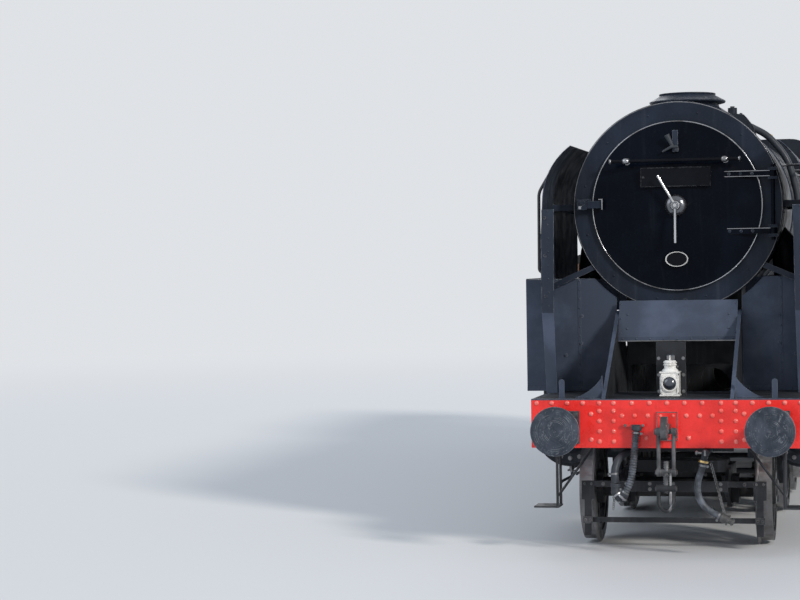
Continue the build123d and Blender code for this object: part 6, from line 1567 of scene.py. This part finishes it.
def spring_details():
    """Leaves under each spring's buckle, the buckle's bolts and the hangers' nuts."""
    leaves = Form()
    for y in COUPLED_YS:
        for i in range(6):
            half, z = SPRING_HALF - 58 * i, 396 - 11 * i
            leaves.block(484, 586, y - half * 0.32, y + half * 0.32, z - 50, z - 44)
        leaves.bolts([(595, y + d, z) for d in (-34, 34) for z in (335, 425)], LEFTWARD, 9, 8)
        for end in (y - SPRING_HALF, y + SPRING_HALF):
            leaves.rod((SPRING_X, end, 404), (SPRING_X, end, 384), 26, sides=6)
    leaves.both_sides()
    leaves.done("spring_leaves_and_nuts", "spring_steel", "locomotive", bevel=1)


def frame_bolts_and_rivets():
    """Bolts of the axleboxes and their keeps, and rows of rivets on the main frames."""
    x = FRAME_FACE_X
    keeps = Form()
    for y in COUPLED_YS:
        keeps.bolts([(x + 10, y + d, 456) for d in (-150, -90, 90, 150)], LEFTWARD, 11, 9)
        keeps.bolts([(x + 45, y + d, z) for d in (-118, 118) for z in (680, 880)], LEFTWARD, 11, 9)
    stretcher_ys = (4926, 6577, 8228, 9879)
    rows = [[(x, y, 1520) for y in range(3700, 10900, 160)],
            [(x, y + d, z) for y in stretcher_ys for z in range(760, 1500, 120) for d in (-30, 30)],
            [(x, y, 1180) for y in range(640, 1600, 120)] + [(x, y, 930) for y in range(600, 1060, 110)]]
    for spots in rows:
        keeps.rivets(spots, LEFTWARD, 11, 0.5, 8)
    keeps.both_sides()
    keeps.done("frame_bolts_and_rivets", "frame_black", "locomotive", smooth=50)


def sand_pipes():
    """Pipes from the frames down to the rails before the first, third and fourth coupled wheels."""
    sand = Form()
    for y, end in ((3700, 3420), (7000, 6700), (8650, 8380)):
        sand.pipe([(700, y - 60, 1500), (700, y - 60, 1180), (748, end - 120, 820), (748, end - 130, 420),
                   (748, end + 10, 130)], 15, 90, 10)
    sand.both_sides()
    sand.done("sand_pipes", "pipe_black", "locomotive", smooth=40)


def truck_details():
    """Bolts of the pony truck's frame and of the guard irons, and the clamps of their tie bar."""
    truck = Form()
    truck.bolts([(x, 950, z) for x in (-400, -200, 0, 200, 400) for z in (492, 538)], FORWARD, 12, 10)
    truck.bolts([(x, 1950, z) for x in (-380, -190, 190, 380) for z in (520, 600)], FORWARD, 12, 10)
    truck.done("truck_bolts", "frame_black", BODY_OF["pony_truck_frame"], smooth=30,
               finish=FINISHES["worn_steel"])
    irons = Form()
    irons.bolts([(x * k, 950, 535) for x in (-1, 1) for k in (600, 700, 760)], FORWARD, 12, 10)
    for x in (-1, 1):
        irons.block(x * 690, x * 772, 915, 930, 198, 258)
        irons.bolts([(x * k, 915, 228) for k in (710, 752)], FORWARD, 10, 9)
    irons.done("guard_iron_bolts", "frame_black", BODY_OF["guard_irons"], bevel=1,
               finish=FINISHES["hook_steel"])


# Running boards and lubricators

BOARD_Z = 2290.0
BOARD_HALF = 1366.0
LUBRICATOR_YS = (4250, 4700)


def board_details():
    """Rivets along the boards' edges, joints across them and a lip along them."""
    edge = Form()
    edge.rivets([(BOARD_HALF, y, BOARD_Z - 34) for y in range(1780, 10230, 130)], LEFTWARD, 8, 0.5, 8)
    edge.both_sides()
    edge.done("running_board_rivets", "platform_black", "locomotive", smooth=50)
    strips = Form()
    for y in range(2000, 10200, 1180):
        strips.block(1100 if 3900 < y < 9000 else 1010, BOARD_HALF - 4, y - 4, y + 4, BOARD_Z, BOARD_Z + 2)
    strips.block(BOARD_HALF - 14, BOARD_HALF - 2, 1710, 10245, BOARD_Z, BOARD_Z + 6)
    strips.both_sides()
    strips.done("running_board_joints", "platform_black", "locomotive", bevel=0.5)


def oil_pipes():
    """Six thin pipes from each lubricator, forward along the board towards the cylinders."""
    pipes = Form()
    for y in LUBRICATOR_YS:
        for i in range(6):
            start = Vector((1110 + 26 * i, y, BOARD_Z + 130))
            x, z = 1096 + 12 * i, BOARD_Z + 8
            pipes.pipe([start, start + Vector((0, -40, 0)), start + Vector((0, -40, -120)),
                        (x, 3950 + 4 * i, z), (x, 3420, z)], 5, 24, 6)
    pipes.both_sides()
    pipes.done("oil_pipes", "pipe_black", "locomotive", smooth=50, finish=FINISHES["copper"])


def lubricator_trim():
    """Caps, strips, bolts and shaft nuts of the lubricators."""
    trim = Form()
    for y in LUBRICATOR_YS:
        trim.rod((1180, y + 130, BOARD_Z + 222), (1180, y + 130, BOARD_Z + 232), 26, sides=20)
        trim.block(1150, 1210, y - 4, y + 2, BOARD_Z + 196, BOARD_Z + 204)
        trim.bolts([(1270, y + d, BOARD_Z + h) for d in (30, 230) for h in (40, 170)], LEFTWARD, 8, 7)
        trim.rod((1296, y + 130, BOARD_Z + 110), (1310, y + 130, BOARD_Z + 110), 20, sides=6)
    trim.both_sides()
    trim.done("lubricator_trim", "coupler_iron", "locomotive", smooth=35, finish=FINISHES["worn_steel"])


# Cab

WAIST_Z, EAVES_Z = 2900.0, 3500.0
CAB_FRONT_Y = 10250.0
CAB_SIDE_X = WIDTH / 2
CAB_LEANS_IN = 136.5
ROOF_HALF, ROOF_RISE = 1255.0, 445.0
ROOF_FRONT_Y, ROOF_REAR_Y = 10195, 12488
VENT_FRONT_Y, VENT_REAR_Y = 10900, 11700


def lean(z):
    """X of the cab side's outer face at z."""
    return CAB_SIDE_X - CAB_LEANS_IN * max(0.0, z - WAIST_Z) / (EAVES_Z - WAIST_Z)


def roof_z(x):
    """Height of the cab roof at x."""
    r = (ROOF_HALF ** 2 + ROOF_RISE ** 2) / (2 * ROOF_RISE)
    return EAVES_Z + ROOF_RISE - r + sqrt(r ** 2 - x ** 2)


def cab_window_frames():
    """A wooden frame round each side window, which leans in with the cab's side."""
    frames = Form()
    low, top = WAIST_Z + 60, WAIST_Z + 480
    for y0, y1 in ((270, 770), (850, 1350)):
        y0, y1 = y0 + CAB_FRONT_Y, y1 + CAB_FRONT_Y
        for a, b, c, d in ((y0 - 22, y1 + 22, low - 22, low), (y0 - 22, y1 + 22, top, top + 22),
                           (y0 - 22, y0, low, top), (y1, y1 + 22, low, top)):
            for v in frames.block(-3, 1, a, b, c, d):
                v.co.x += lean(v.co.z)
    frames.both_sides()
    frames.done("cab_window_frames", "cab_black", "locomotive", bevel=0.5, finish=FINISHES["window_wood"])


def cab_side_rivets():
    """Rows of rivets round the cab's sides, kept within the engine's width."""
    x, eaves = CAB_SIDE_X, EAVES_Z - 30
    row_ys = range(10300, 12040, 96)
    heads = Form()
    for y in row_ys:
        heads.rivets([(x, y, 2300), (x, y, WAIST_Z - 26)], LEFTWARD, 8, 0.25, 8)
    for z in range(2380, 2880, 82):
        heads.rivets([(x, y, z) for y in (10284, 12020)], LEFTWARD, 8, 0.25, 8)
    out = Vector((1, 0, CAB_LEANS_IN / (EAVES_Z - WAIST_Z))).normalized()
    for y in row_ys:
        heads.rivets([(lean(eaves), y, eaves)], out, 8, 0.4, 8)
    for v in heads.mesh.verts:
        v.co.x = min(v.co.x, x)
    heads.both_sides()
    heads.done("cab_side_rivets", "cab_black", "locomotive", smooth=50)


def cab_roof_details():
    """Ribs over the roof, the vent's bars and slides, and the gutters."""
    roof = Form()
    xs = [1228 * (-1 + 2 * i / 14) for i in range(15)]
    for y in (ROOF_FRONT_Y, VENT_FRONT_Y, VENT_REAR_Y, 12300, ROOF_REAR_Y):
        spots = [Vector((x, y, roof_z(x))) for x in xs]
        for a, b in zip(spots, spots[1:]):
            # each starts a little early, so that no gap shows at the bend
            roof.rod(a + (a - b) * 0.01, b, 7, sides=8)
    roof.bars([(-300, 300, 10930 + 190 * i, 10944 + 190 * i, 3962, 3969) for i in range(4)])
    roof.bars([(x * 318, x * 330, VENT_FRONT_Y, VENT_REAR_Y, 3961, 3974) for x in (-1, 1)])
    roof.done("cab_roof_ribs", "cab_black", "locomotive", smooth=40)
    gutters = Form()
    gutters.bars([(x * 1236, x * 1262, 10200, 12490, EAVES_Z + 4, EAVES_Z + 20) for x in (-1, 1)])
    gutters.done("cab_gutters", "cab_black", "locomotive", bevel=2)


def window_arm_rests():
    low = WAIST_Z + 46
    rests = Form()
    rests.bars([(1316, 1364, 11100, 11600, low, low + 16), (1304, 1366, 10540, 11000, low, low + 14)])
    rests.both_sides()
    rests.done("window_arm_rests", "seat_wood", "locomotive", bevel=4)


# Backhead

BACKHEAD_Y = 10820.0
MANIFOLD_Z = 3540.0
REVERSER = Vector((CAB_SIDE_X - 540, 11140, 2640))


def backhead_pipes():
    """Copper pipes that lead down the backhead from the manifold."""
    y = BACKHEAD_Y
    pipes = Form()
    routes = [[(-440, y + 60, 3440), (-440, y + 60, 3300), (-640, y + 60, 3140), (-640, y + 60, 2300)],
              [(-360, y + 60, 3450), (-360, y + 70, 3200), (-250, y + 70, 3080), (-250, y + 70, 2560)],
              [(440, y + 60, 3450), (440, y + 60, 3330), (620, y + 60, 3160), (620, y + 60, 2350)],
              [(200, y + 60, 3450), (200, y + 80, 3340), (60, y + 80, 3300)],
              [(300, y + 60, 3450), (300, y + 70, 3100), (280, y + 70, 2640)],
              [(-200, y + 60, 3450), (-200, y + 60, 3380), (-90, y + 60, 3350), (-90, y + 60, 2640)]]
    for route in routes:
        pipes.pipe(route, 13, 60, 12)
    pipes.done("backhead_pipes", "cab_fittings", "locomotive", smooth=50, finish=FINISHES["copper"])


def cab_handwheels():
    """Handwheels of the manifold's valves, and the big one of the reversing gear with its handle."""
    z, rim_y = MANIFOLD_Z, BACKHEAD_Y + 138
    wheels = Form()
    for x in (-440, -280, -120, 120, 280, 440):
        wheels.rod((x, BACKHEAD_Y + 88, z), (x, rim_y + 2, z), 9, sides=12)
        wheels.turned(ring_section(44, 7, 8), (x, rim_y, z), BACKWARD, 24, closed=True)
        wheels.rod((x - 44, rim_y, z), (x + 44, rim_y, z), 5, sides=8)
        wheels.rod((x, rim_y, z - 44), (x, rim_y, z + 44), 5, sides=8)
    wheels.turned(ring_section(158, 12, 8), REVERSER, LEFTWARD, 40, closed=True)
    for end in around(REVERSER, 158, (0.5, 2.6, 4.7)):
        wheels.rod(REVERSER, end, 8, sides=10)
    wheels.rod(REVERSER + Vector((-12, 130, 80)), REVERSER + Vector((-100, 130, 80)), 14, 18, sides=16)
    wheels.done("cab_handwheels", "cab_fittings", "locomotive", smooth=45)


def gauges():
    """Gauges with blank faces; each hand points its own way."""
    dials, rims = Form(), Form()
    y = BACKHEAD_Y + 30
    for x, z, r in ((-150, 3630, 90), (60, 3640, 75), (250, 3620, 60), (-350, 3610, 60)):
        dials.turned([(0, 26), (r - 8, 26), (r - 8, 20), (0, 20)], (x, y, z), BACKWARD, 40)
        rims.turned([(r - 9, 0), (r, 0), (r, 34), (r - 5, 36), (r - 9, 30)], (x, y, z), BACKWARD, 40,
                    closed=True)
        rims.rod((x, y + 26, z), (x + 0.6 * r * sin(x), y + 28, z + 0.6 * r * cos(x)), 2.5, sides=6)
        rims.rod((x, y - 32, z), (x, y + 2, z), 16, sides=12)
    dials.done("gauge_faces", "cab_fittings", "locomotive", smooth=30, finish=FINISHES["dial_white"])
    rims.done("gauge_rims", "cab_fittings", "locomotive", smooth=40, finish=FINISHES["brass"])


def water_gauge_guards():
    y = BACKHEAD_Y
    glass = Form()
    for x in (-420, 420):
        glass.block(x - 36, x + 36, y + 100, y + 106, 2700, 2990)
        for z in (2690, 3000):
            glass.rod((x, y + 40, z), (x, y + 112, z), 16, sides=6)
            glass.rod((x - 60, y + 72, z), (x + 60, y + 72, z), 8, sides=10)
    glass.done("water_gauge_guards", "cab_fittings", "locomotive", bevel=1, finish=FINISHES["brass"])


def firehole_and_stays():
    """The fire doors' slides and handles, the tray below them, and the heads of the backhead's stays."""
    y = BACKHEAD_Y
    fire = Form()
    for z in (2140, 2524):
        fire.block(-262, 262, y + 10, y + 40, z - 12, z + 12)
    for x in (-60, 60):
        fire.pipe([(x, y + 44, 2300), (x, y + 86, 2300), (x, y + 86, 2380), (x, y + 44, 2380)], 8, 16, 10)
    fire.rivets([(x, y + 14, z) for x in (-215, 215) for z in range(2190, 2500, 74)], BACKWARD, 11, 0.5, 8)
    fire.block(-330, 330, y, y + 150, 2096, 2110)
    fire.turned([(0, 18), (22, 18), (34, 8), (34, -6), (0, -6)], (380, y + 100, 3060), BACKWARD, 24)
    stays = [(x, y + 1, z) for x in range(-700, 701, 175) for z in (1960, 2060, 2720, 2880, 3100, 3260)]
    clear_of_doors = [(x, face_y, z) for x, face_y, z in stays if abs(x) > 340 or z > 2600]
    fire.rivets(clear_of_doors, BACKWARD, 12, 0.5, 8)
    fire.done("firehole_and_stays", "cab_fittings", "locomotive", smooth=40, finish=FINISHES["coal_black"])


# Skins of the record's nodes

def is_tread(axle_y, axle_z):
    """A test for faces on the tread and flange of the wheels of an axle, which roll on the rail."""
    return lambda spot, facing: hypot(spot.y - axle_y, spot.z - axle_z) > axle_z - 3


def is_pin(spot, facing):
    """Whether a face is on a crank pin, outside the wheels."""
    return abs(spot.x) > 844


def is_lamp_bracket(spot, facing):
    """Whether a face is on the head lamp's bracket or its legs."""
    return abs(spot.x) < 127 and 892 < spot.y < 1070


def is_frame_front(spot, facing):
    """Whether a face looks forward where the frames rise over the platform."""
    return facing.y < -0.5 and spot.z > PLATFORM_Z and spot.y < 1900


def is_door_plate(spot, facing):
    """Whether a face of the door's fittings is on one of its two blank plates."""
    near = abs(spot.x) < OBLONG_PLATE_X + 1 and abs(spot.z - OBLONG_PLATE_Z) < OBLONG_PLATE_RISE + 1
    return near and 1490 < spot.y < 1512 or spot.z < BOILER_Z - 380


# the front face of a deflector's post takes the paler slate, as painted light where the light falls on it,
# and the darker post paint high up, as painted shade
POST_AREAS = [("platform_black", lambda spot, facing: facing.y < -0.9),
              ("post_paint", lambda spot, facing: facing.y < -0.9 and spot.z > 2150)]
# the deck's upward faces and the head lamp's bracket take the near-black paint as painted shade
DECK_AREAS = [("deck_black", lambda spot, facing: facing.z > 0.9 or is_lamp_bracket(spot, facing))]
# the coupling's lower shackle takes the dark frame paint as painted shade, as it hangs in shadow under the
# beam
COUPLING_AREAS = [("frame_black", lambda spot, facing: spot.z < 600),
                  ("worn_steel", lambda spot, facing: 27 < spot.x < 49 and spot.z < 680)]
# the tab that holds the vacuum hose's dummy is painted like the beam
TAB_AREAS = [("beam_red", lambda spot, facing: 1045 < spot.z < 1090 and spot.y > 455)]
STOCK_AREAS = [("buffer_stock", lambda spot, facing: spot.y > 31)]
FITTING_AREAS = [("plate_black", is_door_plate),
                 ("plate_black", lambda spot, facing: spot.z > BOILER_Z + 350),
                 ("post_paint", lambda spot, facing: spot.z > BOILER_Z + 440)]

# node: width of its eased edges, finish if it isn't its slot's, areas with another finish
SKINS = {
    "buffer_beam": (2.5,),
    "front_casing": (1.5,),
    # the frames' forward faces over the platform take the paler slate as painted light, as though lit from
    # the front
    "main_frames": (3, None, [("platform_black", is_frame_front)]),
    "deflector_left": (1.5, None, POST_AREAS),
    "deflector_right": (1.5, None, POST_AREAS),
    "front_platform": (2, None, DECK_AREAS),
    "smokebox": (3,),
    "smokebox_door": (3, "door_black"),
    "chimney": (2,),
    "draw_hook": (4,),
    "screw_coupling": (2, None, COUPLING_AREAS),
    "front_pipes": (0, None, TAB_AREAS),
    "buffers": (3, None, STOCK_AREAS),
    "door_fittings": (1.5, None, FITTING_AREAS),
}
# nodes with nothing but a width for their eased edges
EASED_ONLY = [("smokebox_saddle", 3), ("cylinder_left", 3), ("cylinder_right", 3), ("boiler_barrel", 0),
              ("firebox", 0), ("dome", 0), ("running_boards", 1.5), ("cab_side_left", 0),
              ("cab_side_right", 0), ("cab_roof", 0), ("cab_front", 0), ("side_rod_left", 3),
              ("side_rod_right", 3), ("connecting_rods", 3), ("crossheads", 3), ("slide_bars", 3),
              ("valve_gear", 2), ("steps", 1), ("pony_truck_frame", 3), ("guard_irons", 2),
              ("brake_gear", 2), ("handrails", 0), ("safety_valves", 1), ("top_feeds", 2),
              ("lubricators", 2), ("injectors", 2), ("springs", 1), ("axleboxes", 2),
              ("motion_brackets", 2)]
SKINS.update((node, (width,)) for node, width in EASED_ONLY)
SKINS.update({
    "cab_floor": (2, None, [("frame_black", lambda spot, facing: spot.z < 1866)]),
    "cab_controls": (2,),
    "cab_seats": (3,),
    "steam_pipes": (0,),
    "ashpan": (2,),
    "pony_wheelset": (3, None, [("tyre_steel", is_tread(PONY_Y, PONY_AXLE_Z))]),
})
for number, axle_y in enumerate(COUPLED_YS, 1):
    areas = [("tyre_steel", is_tread(axle_y, AXLE_Z)), ("motion_steel", is_pin)]
    SKINS[f"coupled_wheelset_{number}"] = (3, None, areas)
NODES_OF_OWN_PIECES = {"vacuum_hose", "steam_heat_hose", "head_lamp"}


set_camera()
vacuum_hose()
steam_hose()
lay_floor()
set_sky()
set_lamps()
beam_rivets()
smokebox_front()
door_boss()
hinge_straps()
rail_knobs()
lamp_iron_clip()
door_catch()
blank_plates()
head_lamp()
buffer_details()
deck_details()
gusset_edges()
lamp_bracket_details()
front_sheet_details()
apron_details()
deflector_details()
coupling_details()
hook_pad_details()
hose_clips()
vacuum_coupling_heads()
steam_valve()
hose_chains()
steam_coupler_lugs()
smokebox_details()
boiler_bands()
washout_plugs()
mudhole_doors()
firebox_bands()
dome_band()
feed_pipes()
handrail_knobs()
valve_nuts()
cylinder_cover_nuts()
cylinder_clothing()
cylinder_cocks()
cylinder_drain_pipes()
relief_valves_and_glands()
side_rod_cups()
crank_pin_caps()
big_end_details()
bar_and_bracket_bolts()
wheel_details()
spring_details()
frame_bolts_and_rivets()
sand_pipes()
truck_details()
board_details()
oil_pipes()
lubricator_trim()
cab_window_frames()
cab_side_rivets()
cab_roof_details()
window_arm_rests()
backhead_pipes()
cab_handwheels()
gauges()
water_gauge_guards()
firehole_and_stays()
for node, parts in SKINS.items():
    dressed(node, *parts)
finish_plain_nodes({*SKINS, *NODES_OF_OWN_PIECES})
